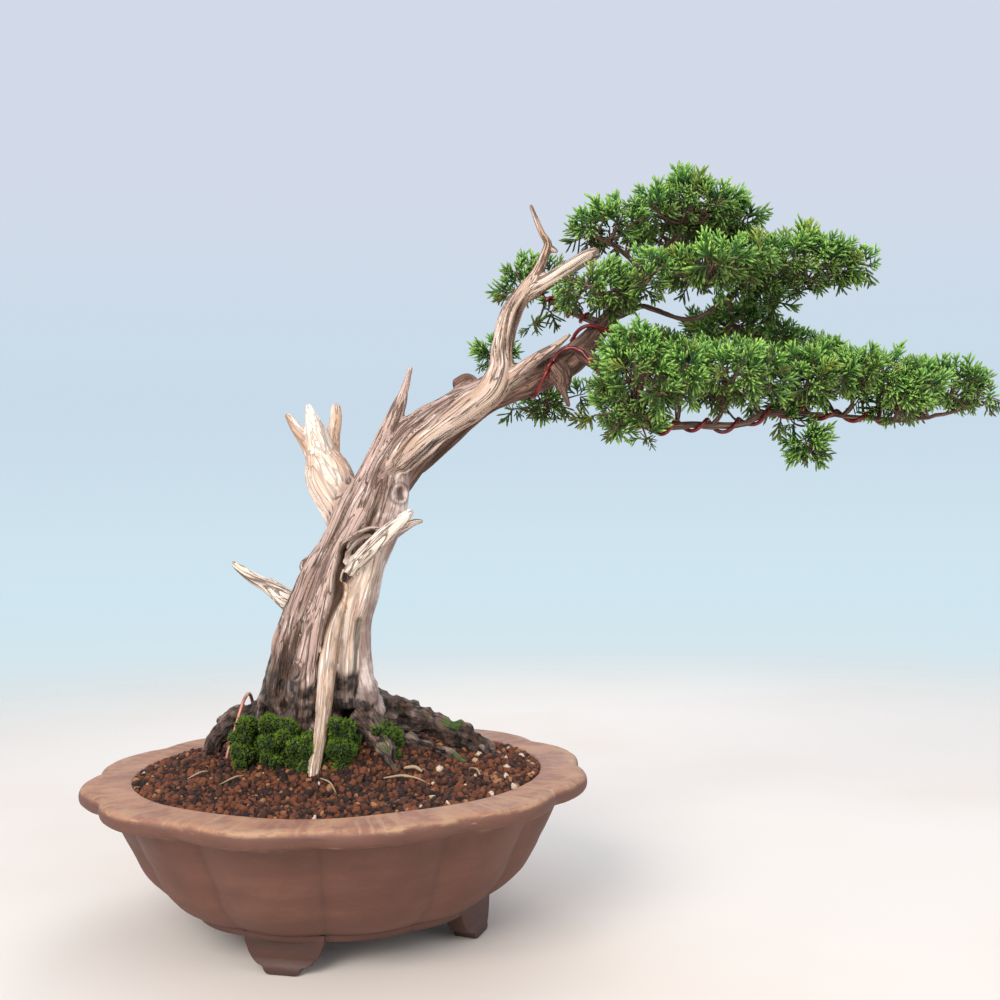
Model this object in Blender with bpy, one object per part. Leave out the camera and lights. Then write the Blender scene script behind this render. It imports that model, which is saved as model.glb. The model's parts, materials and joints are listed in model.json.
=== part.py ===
"""A juniper bonsai in a round, lobed pot.

Metres, +Z up. Everything is modelled about the pot's own axis, standing on z = 0, and is moved at the
end so that the origin is the middle of the underside of the whole object's box.
"""

import math

import bmesh
import bpy
from mathutils import Matrix, Vector, noise
from mathutils.bvhtree import BVHTree

# Pot, about its own axis.
RIM_RADIUS = 0.160
OPENING_RADIUS = 0.130
RIM_TOP = 0.0985
UNDERSIDE = 0.0186
FLOOR_TOP = 0.0285
LOBES = 12
LOBE_STEPS = 4
RIM_LOBE_DEPTH = 0.004
FIRST_NOTCH = math.radians(3)
FOOT_ANGLES = (-103, -19, 74, 163)
FOOT_ARC_RADIUS = 0.092
FOOT_INNER = 0.0825
FOOT_OUTER = 0.0965
DRAIN_RADIUS = 0.014
WIRE_HOLE_RADIUS = 0.004
WIRE_HOLE_X = 0.045
GAP = 0.0003
CUT_PAST = 0.01
CYLINDER_SEGMENTS = 24

# Rings of the pot as (radius, z, depth of the lobes), from the middle of the floor up the inside, over the
# rim and down the outside.
POT_PROFILE = [
    (0.0400, FLOOR_TOP, 0.0), (0.0860, FLOOR_TOP, 0.0), (0.0980, 0.0315, 0.0), (0.1060, 0.0370, 0.0),
    (0.1135, 0.0445, 0.0), (0.1205, 0.0590, 0.0), (0.1265, 0.0710, 0.0), (0.1285, 0.0900, 0.0),
    (OPENING_RADIUS, 0.0977, 0.0), (0.1312, RIM_TOP, 0.0),
    (0.1570, RIM_TOP, RIM_LOBE_DEPTH), (RIM_RADIUS, 0.0960, RIM_LOBE_DEPTH),
    (0.1605, 0.0925, RIM_LOBE_DEPTH), (0.1585, 0.0893, RIM_LOBE_DEPTH),
    (0.1480, 0.0868, 0.0040), (0.1405, 0.0815, 0.0052), (0.1365, 0.0710, 0.0055), (0.1305, 0.0590, 0.0055),
    (0.1235, 0.0445, 0.0054), (0.1160, 0.0350, 0.0050), (0.1085, 0.0285, 0.0040), (0.1010, 0.0238, 0.0028),
    (0.0965, 0.0228, 0.0020), (0.0960, UNDERSIDE, 0.0020), (0.0400, UNDERSIDE, 0.0),
]

# Half of a foot's outline, as (distance along the base, z).
FOOT_HALF_OUTLINE = [
    (0.0245, 0.0230), (0.0242, 0.0186), (0.0222, 0.0130), (0.0190, 0.0082), (0.0150, 0.0050),
    (0.0118, 0.0042), (0.0106, 0.0024), (0.0092, 0.0008), (0.0075, 0.0),
]

# Soil.
SOIL_EDGE = 0.0935
SOIL_PEAK = 0.128
RECESS_RADIUS = 0.031
RECESS_TOP = 0.0328
WALL_GAP = GAP * 2
WALL_RINGS = [
    (0.0977, 0.0319), (0.1055, 0.0373), (0.1130, 0.0448), (0.1200, 0.0592), (0.1262, 0.0712),
    (0.1284, 0.0900), (0.1288, SOIL_EDGE),
]
MOUND_RINGS = [
    (0.1200, 0.0955), (0.1000, 0.0990), (0.0800, 0.1030), (0.0600, 0.1095), (0.0450, 0.1165),
    (0.0300, 0.1230),
]

# Tree.
THINNEST = 0.0022
TRUNK_VOXEL = 0.0024
TRUNK_KEEP = 0.075
TUBE_SIDES = 10
WIRE_SIDES = 6
COIL_STEPS = 10
COIL_LIMB_STEPS = 8
SEATING_PASSES = 6
ROOT_CUTTER_KEEP = 0.16
CUTTER_KEEP = 0.09
ROOT_CLEARANCE = 0.0028
END_MARGIN = 0.0006
CUTTER_SIDES = 8
ROOT_CUTTER_VOXEL = 0.0034
CUTTER_VOXEL = 0.0042
LIMB_STEPS = 3
BLOB_SEGMENTS = 12
BLOB_RINGS = 8
BLOB_BUMP_SCALE = 1.7
BLOB_SEED = 40
PAD_LUMPS = 0.16
MOSS_LUMPS = 0.25
PAD_CLEARANCE = 0.0062

# Wires.
WIRE_CLEARANCE = 0.0014
TRAINING_WIRE = 0.0014
ANCHOR_WIRE = 0.0011
TIE_WIRE = 0.0010
CLIP_WIRE = 0.0007
CLIP_CORNER = 0.0012
CLIP_SLACK = 0.0002

# Where each coil begins and ends, as shares of its branch, and how often it goes round.
LOWER_COIL = (0.12, 0.80, 11)
BACK_COIL = (0.22, 0.85, 4)

# Drain mesh.
MESH_HOLES = 6
MESH_PITCH = 0.0065
MESH_BAR = 0.0015
MESH_THICKNESS = 0.0012

# Centre lines of the one grown piece: x, y, z and radius at each point, from the base of each limb
# to its tip. Neighbouring limbs overlap, and are fused into one solid.
LIMBS = {
    "core": [(-0.014, 0.005, 0.111, 0.0330), (-0.013, 0.004, 0.141, 0.0323),
        (-0.012, 0.003, 0.164, 0.0283), (-0.009, 0.002, 0.190, 0.0256), (-0.001, 0.002, 0.215, 0.0230),
        (0.008, 0.003, 0.236, 0.0211), (0.017, 0.004, 0.258, 0.0198), (0.026, 0.004, 0.277, 0.0178),
        (0.035, 0.004, 0.296, 0.0152), (0.048, 0.004, 0.313, 0.0132), (0.067, 0.004, 0.327, 0.0119),
        (0.087, 0.004, 0.338, 0.0105), (0.101, 0.003, 0.345, 0.0092)],
    "left_flute": [(-0.041, -0.008, 0.127, 0.0136), (-0.036, -0.010, 0.150, 0.0129),
        (-0.031, -0.010, 0.172, 0.0129), (-0.024, -0.010, 0.198, 0.0110),
        (-0.013, -0.008, 0.224, 0.0104), (-0.003, -0.006, 0.243, 0.0097),
        (0.008, -0.004, 0.266, 0.0091), (0.018, -0.002, 0.286, 0.0078), (0.027, 0.000, 0.305, 0.0072),
        (0.035, 0.000, 0.321, 0.0059), (0.041, 0.000, 0.336, 0.0043), (0.045, 0.000, 0.348, 0.0029),
        (0.048, 0.000, 0.359, 0.0017)],
    "right_column": [(0.022, -0.012, 0.134, 0.0103), (0.015, -0.014, 0.156, 0.0096),
        (0.013, -0.014, 0.176, 0.0090), (0.014, -0.014, 0.195, 0.0090), (0.019, -0.012, 0.214, 0.0090),
        (0.025, -0.010, 0.234, 0.0084), (0.033, -0.006, 0.254, 0.0084), (0.038, -0.004, 0.272, 0.0085),
        (0.039, 0.000, 0.288, 0.0079)],
    "mid_flute": [(-0.021, -0.022, 0.129, 0.0114), (-0.018, -0.024, 0.152, 0.0108),
        (-0.015, -0.025, 0.174, 0.0095), (-0.010, -0.025, 0.196, 0.0089),
        (-0.004, -0.024, 0.218, 0.0076), (0.002, -0.020, 0.235, 0.0070),
        (0.010, -0.014, 0.251, 0.0064), (0.020, -0.008, 0.269, 0.0058)],
    "pale_panel": [(0.006, -0.024, 0.142, 0.0076), (0.007, -0.026, 0.168, 0.0082),
        (0.009, -0.025, 0.190, 0.0089), (0.013, -0.023, 0.208, 0.0089), (0.019, -0.020, 0.224, 0.0077),
        (0.024, -0.015, 0.240, 0.0064)],
    "front_strip": [(0.007, -0.028, 0.218, 0.0044), (0.002, -0.034, 0.197, 0.0056),
        (-0.002, -0.038, 0.172, 0.0059), (-0.004, -0.042, 0.148, 0.0053),
        (-0.006, -0.048, 0.125, 0.0046), (-0.009, -0.053, 0.108, 0.0037),
        (-0.010, -0.057, 0.095, 0.0024)],
    "hood": [(0.001, -0.030, 0.206, 0.0031), (0.002, -0.031, 0.223, 0.0038),
        (0.007, -0.030, 0.239, 0.0041), (0.015, -0.027, 0.248, 0.0038), (0.024, -0.023, 0.252, 0.0035),
        (0.032, -0.019, 0.250, 0.0032)],
    "cross_jin": [(0.010, -0.026, 0.226, 0.0044), (0.019, -0.031, 0.236, 0.0057),
        (0.028, -0.035, 0.244, 0.0056), (0.037, -0.039, 0.252, 0.0050), (0.045, -0.042, 0.259, 0.0040),
        (0.051, -0.044, 0.264, 0.0022)],
    "mossy_stub": [(0.035, -0.002, 0.250, 0.0046), (0.043, -0.002, 0.254, 0.0033),
        (0.049, -0.002, 0.257, 0.0026), (0.055, -0.002, 0.258, 0.0016)],
    "fork_stem": [(0.008, 0.004, 0.249, 0.0112), (0.003, 0.008, 0.264, 0.0119),
        (-0.005, 0.011, 0.281, 0.0120), (-0.010, 0.013, 0.294, 0.0107), (-0.014, 0.014, 0.305, 0.0080)],
    "fork_left": [(-0.016, 0.014, 0.301, 0.0060), (-0.023, 0.014, 0.312, 0.0043),
        (-0.030, 0.014, 0.321, 0.0030), (-0.036, 0.014, 0.330, 0.0017)],
    "fork_mid": [(-0.013, 0.012, 0.305, 0.0067), (-0.016, 0.010, 0.318, 0.0053),
        (-0.019, 0.009, 0.328, 0.0033), (-0.021, 0.009, 0.336, 0.0016)],
    "fork_right": [(-0.008, 0.018, 0.301, 0.0060), (-0.007, 0.022, 0.315, 0.0047),
        (-0.005, 0.025, 0.327, 0.0037), (-0.005, 0.027, 0.337, 0.0027)],
    "left_jin": [(-0.027, 0.004, 0.202, 0.0072), (-0.037, 0.003, 0.209, 0.0053),
        (-0.047, 0.002, 0.216, 0.0036), (-0.057, 0.001, 0.222, 0.0028), (-0.065, 0.000, 0.228, 0.0020),
        (-0.070, 0.000, 0.232, 0.0013)],
    "left_stub": [(-0.034, 0.008, 0.209, 0.0046), (-0.042, 0.011, 0.215, 0.0033),
        (-0.049, 0.013, 0.220, 0.0020)],
    "back_stub": [(-0.015, 0.012, 0.218, 0.0047), (-0.022, 0.014, 0.223, 0.0037),
        (-0.026, 0.015, 0.229, 0.0027), (-0.021, 0.015, 0.235, 0.0020)],
    "right_root": [(0.006, 0.012, 0.138, 0.0166), (0.027, 0.018, 0.131, 0.0148),
        (0.047, 0.020, 0.126, 0.0114), (0.065, 0.020, 0.119, 0.0094), (0.083, 0.018, 0.113, 0.0081),
        (0.095, 0.016, 0.104, 0.0060), (0.103, 0.016, 0.090, 0.0040)],
    "right_rootlet": [(0.038, -0.005, 0.118, 0.0059), (0.056, -0.010, 0.113, 0.0045),
        (0.069, -0.016, 0.110, 0.0032), (0.081, -0.018, 0.103, 0.0026)],
    "front_right_root": [(0.016, -0.018, 0.133, 0.0128), (0.027, -0.028, 0.122, 0.0101),
        (0.034, -0.036, 0.113, 0.0069), (0.041, -0.042, 0.102, 0.0043)],
    "left_root": [(-0.026, 0.000, 0.131, 0.0177), (-0.047, 0.000, 0.134, 0.0118),
        (-0.063, 0.002, 0.131, 0.0105), (-0.074, 0.004, 0.125, 0.0099), (-0.082, 0.006, 0.117, 0.0079),
        (-0.086, 0.008, 0.107, 0.0060), (-0.089, 0.010, 0.096, 0.0040)],
    "front_left_root": [(-0.027, -0.018, 0.131, 0.0141), (-0.033, -0.030, 0.118, 0.0101),
        (-0.037, -0.040, 0.106, 0.0056)],
    "front_root": [(-0.005, -0.022, 0.130, 0.0146), (0.000, -0.034, 0.115, 0.0106),
        (0.004, -0.044, 0.101, 0.0056)],
    "back_root": [(-0.017, 0.020, 0.131, 0.0202), (-0.019, 0.045, 0.109, 0.0153),
        (-0.021, 0.066, 0.086, 0.0086)],
    "back_right_root": [(0.004, 0.020, 0.130, 0.0148), (0.014, 0.048, 0.105, 0.0098),
        (0.024, 0.070, 0.082, 0.0057)],
    "back_left_root": [(-0.037, 0.020, 0.131, 0.0148), (-0.055, 0.046, 0.106, 0.0097),
        (-0.072, 0.066, 0.084, 0.0057)],
    "main_pale": [(0.040, -0.008, 0.294, 0.0084), (0.054, -0.009, 0.307, 0.0091),
        (0.071, -0.009, 0.320, 0.0091), (0.087, -0.008, 0.331, 0.0091), (0.100, -0.006, 0.341, 0.0091),
        (0.107, -0.004, 0.355, 0.0085), (0.108, -0.002, 0.369, 0.0078), (0.111, -0.001, 0.384, 0.0072),
        (0.116, 0.000, 0.397, 0.0072), (0.123, 0.000, 0.407, 0.0066), (0.131, 0.000, 0.418, 0.0049),
        (0.136, 0.000, 0.430, 0.0036), (0.139, 0.000, 0.439, 0.0031), (0.135, 0.000, 0.447, 0.0024),
        (0.131, 0.000, 0.457, 0.0020), (0.128, 0.000, 0.465, 0.0017)],
    "jin_spur": [(0.140, 0.000, 0.437, 0.0026), (0.145, 0.000, 0.434, 0.0014)],
    "right_fork": [(0.119, 0.002, 0.402, 0.0059), (0.130, 0.000, 0.410, 0.0062),
        (0.142, -0.003, 0.416, 0.0059), (0.154, -0.006, 0.423, 0.0052), (0.165, -0.008, 0.429, 0.0049),
        (0.171, -0.009, 0.431, 0.0039)],
    "live_vein": [(0.043, 0.006, 0.285, 0.0079), (0.056, 0.006, 0.301, 0.0079),
        (0.073, 0.006, 0.315, 0.0073), (0.092, 0.006, 0.331, 0.0066), (0.110, 0.005, 0.342, 0.0079),
        (0.126, 0.004, 0.350, 0.0099), (0.141, 0.003, 0.357, 0.0105), (0.153, 0.003, 0.363, 0.0092),
        (0.163, 0.004, 0.372, 0.0079), (0.175, 0.006, 0.386, 0.0066), (0.187, 0.008, 0.399, 0.0056),
        (0.201, 0.010, 0.414, 0.0046), (0.214, 0.012, 0.431, 0.0037), (0.228, 0.012, 0.449, 0.0028),
        (0.236, 0.010, 0.466, 0.0020), (0.238, 0.008, 0.479, 0.0013)],
    "small_jin": [(0.107, -0.002, 0.346, 0.0059), (0.120, -0.008, 0.355, 0.0052),
        (0.133, -0.012, 0.364, 0.0039), (0.143, -0.014, 0.370, 0.0026), (0.152, -0.015, 0.377, 0.0012)],
    "burr": [(0.143, -0.004, 0.357, 0.0085), (0.147, -0.007, 0.349, 0.0071),
        (0.147, -0.008, 0.342, 0.0039)],
    "burr_peg": [(0.147, -0.010, 0.343, 0.0026), (0.149, -0.010, 0.337, 0.0023),
        (0.151, -0.010, 0.331, 0.0018)],
    "bark_nub": [(0.077, 0.008, 0.348, 0.0046), (0.085, 0.008, 0.352, 0.0046),
        (0.091, 0.008, 0.350, 0.0026)],
    "lower_branch": [(0.158, 0.000, 0.368, 0.0066), (0.169, -0.012, 0.358, 0.0055),
        (0.178, -0.022, 0.342, 0.0041), (0.187, -0.028, 0.325, 0.0035), (0.202, -0.030, 0.315, 0.0031),
        (0.227, -0.026, 0.317, 0.0032), (0.256, -0.016, 0.317, 0.0029), (0.285, -0.006, 0.326, 0.0026),
        (0.316, 0.000, 0.325, 0.0023), (0.347, 0.004, 0.323, 0.0021), (0.374, 0.006, 0.321, 0.0020),
        (0.405, 0.008, 0.326, 0.0016), (0.423, 0.008, 0.332, 0.0012)],
    "back_left_branch": [(0.178, 0.012, 0.387, 0.0040), (0.165, 0.022, 0.394, 0.0030),
        (0.152, 0.030, 0.401, 0.0026), (0.139, 0.036, 0.410, 0.0021), (0.124, 0.040, 0.419, 0.0017)],
    "arc_branch": [(0.186, 0.010, 0.393, 0.0033), (0.201, 0.014, 0.400, 0.0028),
        (0.215, 0.018, 0.397, 0.0023), (0.230, 0.020, 0.392, 0.0022), (0.245, 0.022, 0.395, 0.0021),
        (0.261, 0.022, 0.407, 0.0020), (0.277, 0.020, 0.418, 0.0017), (0.306, 0.016, 0.429, 0.0015),
        (0.333, 0.012, 0.436, 0.0012)],
    "upper_left_branch": [(0.205, 0.006, 0.419, 0.0030), (0.193, 0.000, 0.429, 0.0024),
        (0.181, -0.004, 0.437, 0.0020), (0.166, -0.006, 0.444, 0.0016), (0.155, -0.006, 0.448, 0.0012)],
    "centre_branch": [(0.210, 0.008, 0.426, 0.0026), (0.225, -0.008, 0.423, 0.0021),
        (0.243, -0.022, 0.417, 0.0017), (0.259, -0.030, 0.417, 0.0013)],
    "mid_left_branch": [(0.188, 0.002, 0.399, 0.0030), (0.175, -0.012, 0.404, 0.0023),
        (0.161, -0.022, 0.408, 0.0018), (0.147, -0.026, 0.412, 0.0013)],
    "back_upper_branch": [(0.202, 0.018, 0.415, 0.0030), (0.215, 0.045, 0.430, 0.0025),
        (0.231, 0.070, 0.442, 0.0020), (0.247, 0.088, 0.451, 0.0015)],
    "back_lower_branch": [(0.167, 0.012, 0.374, 0.0040), (0.184, 0.040, 0.375, 0.0032),
        (0.207, 0.068, 0.376, 0.0026), (0.233, 0.090, 0.380, 0.0021)],
    "far_small_branch": [(0.127, 0.016, 0.357, 0.0030), (0.115, 0.030, 0.364, 0.0020),
        (0.104, 0.040, 0.371, 0.0015)],
    "below_branch": [(0.144, 0.014, 0.357, 0.0033), (0.141, 0.034, 0.347, 0.0021),
        (0.138, 0.046, 0.341, 0.0015)],
}

# The limbs of the lower trunk, which reach into the soil as the roots do.
TRUNK_BASE = {"core", "left_flute", "right_column", "mid_flute", "pale_panel", "front_strip"}

# Foliage pads: the middle of each and half its size along x, y and z.
PADS = {
    "foliage_apex": ((0.232, 0.004, 0.463), (0.034, 0.042, 0.029)),
    "foliage_apex_right": ((0.270, 0.022, 0.459), (0.020, 0.032, 0.020)),
    "foliage_upper_left": ((0.179, -0.006, 0.447), (0.034, 0.040, 0.019)),
    "foliage_beside_jin": ((0.123, 0.044, 0.421), (0.022, 0.030, 0.022)),
    "foliage_middle_left": ((0.169, -0.022, 0.403), (0.037, 0.040, 0.023)),
    "foliage_centre": ((0.234, -0.030, 0.414), (0.034, 0.044, 0.023)),
    "foliage_upper_right": ((0.310, 0.010, 0.423), (0.048, 0.052, 0.029)),
    "foliage_far_left": ((0.105, 0.042, 0.371), (0.020, 0.022, 0.014)),
    "foliage_under_branch": ((0.138, 0.048, 0.340), (0.026, 0.024, 0.013)),
    "foliage_back_middle": ((0.274, 0.066, 0.396), (0.037, 0.040, 0.020)),
    "foliage_lower_left": ((0.190, -0.046, 0.343), (0.033, 0.048, 0.040)),
    "foliage_lower_centre": ((0.247, -0.034, 0.346), (0.028, 0.052, 0.028)),
    "foliage_lower_right": ((0.301, -0.006, 0.344), (0.028, 0.052, 0.028)),
    "foliage_behind_right": ((0.322, 0.064, 0.376), (0.024, 0.036, 0.016)),
    "foliage_outer": ((0.337, -0.010, 0.350), (0.022, 0.044, 0.022)),
    "foliage_outer_front": ((0.362, -0.014, 0.332), (0.022, 0.040, 0.023)),
    "foliage_tip": ((0.403, 0.010, 0.342), (0.036, 0.042, 0.026)),
    "foliage_hanging": ((0.307, -0.004, 0.305), (0.014, 0.016, 0.014)),
    "foliage_back_upper": ((0.247, 0.078, 0.449), (0.033, 0.040, 0.027)),
    "foliage_back_lower": ((0.222, 0.076, 0.372), (0.034, 0.044, 0.026)),
}

# Moss clumps: the middle and half size of each.
MOSS = {
    "moss_left_root": ((-0.052, -0.029, 0.121), (0.0105, 0.0110, 0.0170)),
    "moss_front_left": ((-0.031, -0.040, 0.119), (0.0130, 0.0120, 0.0180)),
    "moss_front_middle": ((-0.015, -0.046, 0.116), (0.0090, 0.0110, 0.0160)),
    "moss_front_right": ((0.0065, -0.043, 0.117), (0.0105, 0.0120, 0.0225)),
    "moss_right_root": ((0.034, -0.027, 0.118), (0.0085, 0.0100, 0.0150)),
}

# Wires laid by hand, end to end.
ANCHOR_ROUTE = [
    (-0.058, 0.018, 0.114), (-0.059, 0.015, 0.130), (-0.060, 0.005, 0.1450), (-0.0605, -0.007, 0.1450),
    (-0.062, -0.0125, 0.139), (-0.0645, -0.017, 0.128), (-0.0675, -0.0215, 0.116), (-0.069, -0.023, 0.109),
]
TIE_ROUTE = [
    (-0.030, 0.0, 0.092), (-0.042, 0.0, 0.088), (-0.045, 0.0, 0.075), (-0.045, 0.0, 0.030),
    (-0.045, 0.0, 0.0185), (-0.043, 0.0, 0.0168), (0.0, 0.0, 0.0166), (0.043, 0.0, 0.0168),
    (0.045, 0.0, 0.0185), (0.045, 0.0, 0.030), (0.045, 0.0, 0.075), (0.042, 0.0, 0.088),
    (0.030, 0.0, 0.092),
]
CLIP_LEG_X = 0.00975
CLIP_Y = 0.00325
CLIP_FOOT_X = 0.022
# Start of the wire that crosses the thick end of the live branch before it coils along a limb.
LOWER_WIRE_START = [
    (0.128, 0.014, 0.343), (0.128, 0.004, 0.338), (0.130, -0.005, 0.340), (0.134, -0.010, 0.348),
    (0.139, -0.011, 0.357), (0.145, -0.010, 0.366), (0.153, -0.011, 0.369), (0.160, -0.013, 0.366),
]
BACK_WIRE_START = (0.170, 0.015, 0.400)
UPPER_WIRE_ROUTE = [
    (0.160, 0.014, 0.367), (0.156, 0.009, 0.372), (0.1555, 0.003, 0.378), (0.160, -0.0015, 0.383),
    (0.166, -0.0035, 0.3845), (0.172, -0.0035, 0.383), (0.178, -0.0015, 0.381), (0.182, 0.003, 0.381),
]

COLOURS = {
    "pot": ((0.155, 0.078, 0.058), 0.62, 0.0),
    "soil": ((0.165, 0.055, 0.022), 0.95, 0.0),
    "wood": ((0.560, 0.400, 0.300), 0.75, 0.0),
    "moss": ((0.055, 0.160, 0.012), 0.90, 0.0),
    "foliage": ((0.060, 0.190, 0.040), 0.60, 0.0),
    "training_wire": ((0.190, 0.015, 0.010), 0.30, 0.6),
    "copper_wire": ((0.480, 0.200, 0.130), 0.45, 0.7),
    "drain_mesh": ((0.020, 0.020, 0.022), 0.60, 0.0),
    "steel_wire": ((0.450, 0.450, 0.430), 0.40, 1.0),
}


def clear_scene():
    for obj in list(bpy.data.objects):
        bpy.data.objects.remove(obj, do_unlink=True)


def material(name):
    found = bpy.data.materials.get(name)
    if found:
        return found
    colour, roughness, metallic = COLOURS[name]
    made = bpy.data.materials.new(name)
    made.use_nodes = True
    shader = made.node_tree.nodes["Principled BSDF"]
    shader.inputs["Base Color"].default_value = (*colour, 1.0)
    shader.inputs["Roughness"].default_value = roughness
    shader.inputs["Metallic"].default_value = metallic
    return made


def add_object(name, bm, finish=None, helper=False):
    """An object from a bmesh, which is freed. A helper only cuts or joins."""
    mesh = bpy.data.meshes.new(name)
    bm.to_mesh(mesh)
    bm.free()
    obj = bpy.data.objects.new(name, mesh)
    bpy.context.scene.collection.objects.link(obj)
    if finish:
        mesh.materials.append(material(finish))
    if helper:
        obj.hide_render = True
        obj.display_type = "WIRE"
    return obj


def boolean(obj, other, operation):
    modifier = obj.modifiers.new(operation.lower() + "_" + other.name, "BOOLEAN")
    modifier.operation = operation
    modifier.object = other


def islands(bm):
    """The vertices of each connected body."""
    left = set(bm.verts)
    found = []
    while left:
        reached = [left.pop()]
        group = set(reached)
        while reached:
            for edge in reached.pop().link_edges:
                for vertex in edge.verts:
                    if vertex in left:
                        left.discard(vertex)
                        group.add(vertex)
                        reached.append(vertex)
        found.append(group)
    return found


def settle(obj):
    """Applies the modifiers, keeps the largest body and drops what is left of the rest."""
    bpy.context.view_layer.update()
    graph = bpy.context.evaluated_depsgraph_get()
    evaluated = obj.evaluated_get(graph)
    mesh = bpy.data.meshes.new_from_object(evaluated, depsgraph=graph)
    obj.modifiers.clear()
    obj.data = mesh
    bm = bmesh.new()
    bm.from_mesh(mesh)
    bmesh.ops.remove_doubles(bm, verts=bm.verts, dist=1e-6)
    bodies = sorted(islands(bm), key=len, reverse=True)
    for body in bodies[1:]:
        bmesh.ops.delete(bm, geom=list(body), context="VERTS")
    bmesh.ops.triangulate(bm, faces=bm.faces)
    bm.to_mesh(mesh)
    bm.free()
    mesh.shade_smooth()
    mesh.set_sharp_from_angle(angle=math.radians(40))


def remove(objects):
    for obj in objects:
        bpy.data.objects.remove(obj, do_unlink=True)


def smooth_route(points, per_span):
    """Points along a Catmull-Rom curve through the route. Each item is a sequence of numbers."""
    rows = [Vector(p) for p in points]
    rows = [rows[0] * 2 - rows[1]] + rows + [rows[-1] * 2 - rows[-2]]
    out = []
    for i in range(1, len(rows) - 2):
        a, b, c, d = rows[i - 1 : i + 3]
        for step in range(per_span):
            t = step / per_span
            slope = c - a
            bend = 2 * a - 5 * b + 4 * c - d
            twist = 3 * b - a - 3 * c + d
            out.append(b + (slope * t + bend * t**2 + twist * t**3) / 2)
    out.append(rows[-2])
    return out


def frames(centres):
    """A side and an up direction at each point, carried along the curve without twisting."""
    tangents = []
    for i in range(len(centres)):
        ahead = centres[min(i + 1, len(centres) - 1)]
        behind = centres[max(i - 1, 0)]
        tangents.append((ahead - behind).normalized())
    side = tangents[0].orthogonal().normalized()
    out = []
    for tangent in tangents:
        side = (side - tangent * side.dot(tangent)).normalized()
        out.append((side.copy(), tangent.cross(side)))
    return out


def add_tube(bm, centres, radii, sides):
    """A closed round tube with flat ends."""
    rings = []
    for centre, radius, (side, up) in zip(centres, radii, frames(centres)):
        ring = []
        for k in range(sides):
            turn = 2 * math.pi * k / sides
            ring.append(bm.verts.new(centre + (side * math.cos(turn) + up * math.sin(turn)) * radius))
        rings.append(ring)
    for low, high in zip(rings, rings[1:]):
        for k in range(sides):
            n = (k + 1) % sides
            bm.faces.new((low[k], low[n], high[n], high[k]))
    bm.faces.new(rings[0][::-1])
    bm.faces.new(rings[-1])


def add_turned(bm, rings, segments):
    """A closed turned body. Each ring is a function of the angle that gives (radius, z), or one point."""
    made = []
    for ring in rings:
        if callable(ring):
            row = []
            for k in range(segments):
                turn = FIRST_NOTCH + 2 * math.pi * k / segments
                radius, z = ring(turn)
                row.append(bm.verts.new((radius * math.cos(turn), radius * math.sin(turn), z)))
            made.append(row)
        else:
            made.append([bm.verts.new((0, 0, ring))])
    for first, second in zip(made, made[1:]):
        for k in range(segments):
            n = (k + 1) % segments
            if len(first) == 1:
                bm.faces.new((first[0], second[k], second[n]))
            elif len(second) == 1:
                bm.faces.new((first[k], second[0], first[n]))
            else:
                bm.faces.new((first[k], second[k], second[n], first[n]))
    bmesh.ops.recalc_face_normals(bm, faces=bm.faces)


def lobed(radius, z, depth):
    """A ring of round lobes that meet at notches."""
    return lambda turn: (
        radius - depth * (1 - abs(math.sin(LOBES * (turn - FIRST_NOTCH) / 2))),
        z,
    )


def plain(radius, z):
    return lambda turn: (radius, z)


def cylinder(name, x, radius, bottom, top):
    bm = bmesh.new()
    bmesh.ops.create_cone(
        bm, cap_ends=True, segments=CYLINDER_SEGMENTS, radius1=radius, radius2=radius, depth=top - bottom,
        matrix=Matrix.Translation((x, 0, (bottom + top) / 2)),
    )
    return add_object(name, bm, helper=True)


def foot(name, degrees):
    """One cloud-shaped foot, bent along the base."""
    outline = FOOT_HALF_OUTLINE + [(-u, z) for u, z in reversed(FOOT_HALF_OUTLINE)]
    bm = bmesh.new()
    faces = []
    for radius in (FOOT_INNER, FOOT_OUTER):
        ring = []
        for u, z in outline:
            turn = math.radians(degrees) + u / FOOT_ARC_RADIUS
            ring.append(bm.verts.new((radius * math.cos(turn), radius * math.sin(turn), z)))
        faces.append(ring)
    inner, outer = faces
    count = len(outline)
    for k in range(count):
        n = (k + 1) % count
        bm.faces.new((inner[k], inner[n], outer[n], outer[k]))
    for ring in faces:
        for k in range(count // 2 - 1):
            a, b = ring[k], ring[k + 1]
            c, d = ring[count - 2 - k], ring[count - 1 - k]
            bm.faces.new((a, b, c, d))
    bmesh.ops.recalc_face_normals(bm, faces=bm.faces)
    return add_object(name, bm, helper=True)


def build_pot():
    rings = [FLOOR_TOP] + [lobed(radius, z, depth) for radius, z, depth in POT_PROFILE] + [UNDERSIDE]
    bm = bmesh.new()
    add_turned(bm, rings, LOBES * LOBE_STEPS)
    pot = add_object("pot", bm, "pot")
    helpers = [foot(f"foot_{i + 1}", angle) for i, angle in enumerate(FOOT_ANGLES)]
    for helper in helpers:
        boolean(pot, helper, "UNION")
    cutters = [cylinder("drain_cutter", 0, DRAIN_RADIUS, UNDERSIDE - CUT_PAST, FLOOR_TOP + CUT_PAST)]
    for i, side in enumerate((-1, 1)):
        cutters.append(
            cylinder(f"wire_hole_cutter_{i + 1}", side * WIRE_HOLE_X, WIRE_HOLE_RADIUS,
                     UNDERSIDE - CUT_PAST, FLOOR_TOP + CUT_PAST)
        )
    for cutter in cutters:
        boolean(pot, cutter, "DIFFERENCE")
    settle(pot)
    remove(helpers + cutters)
    return pot


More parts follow.
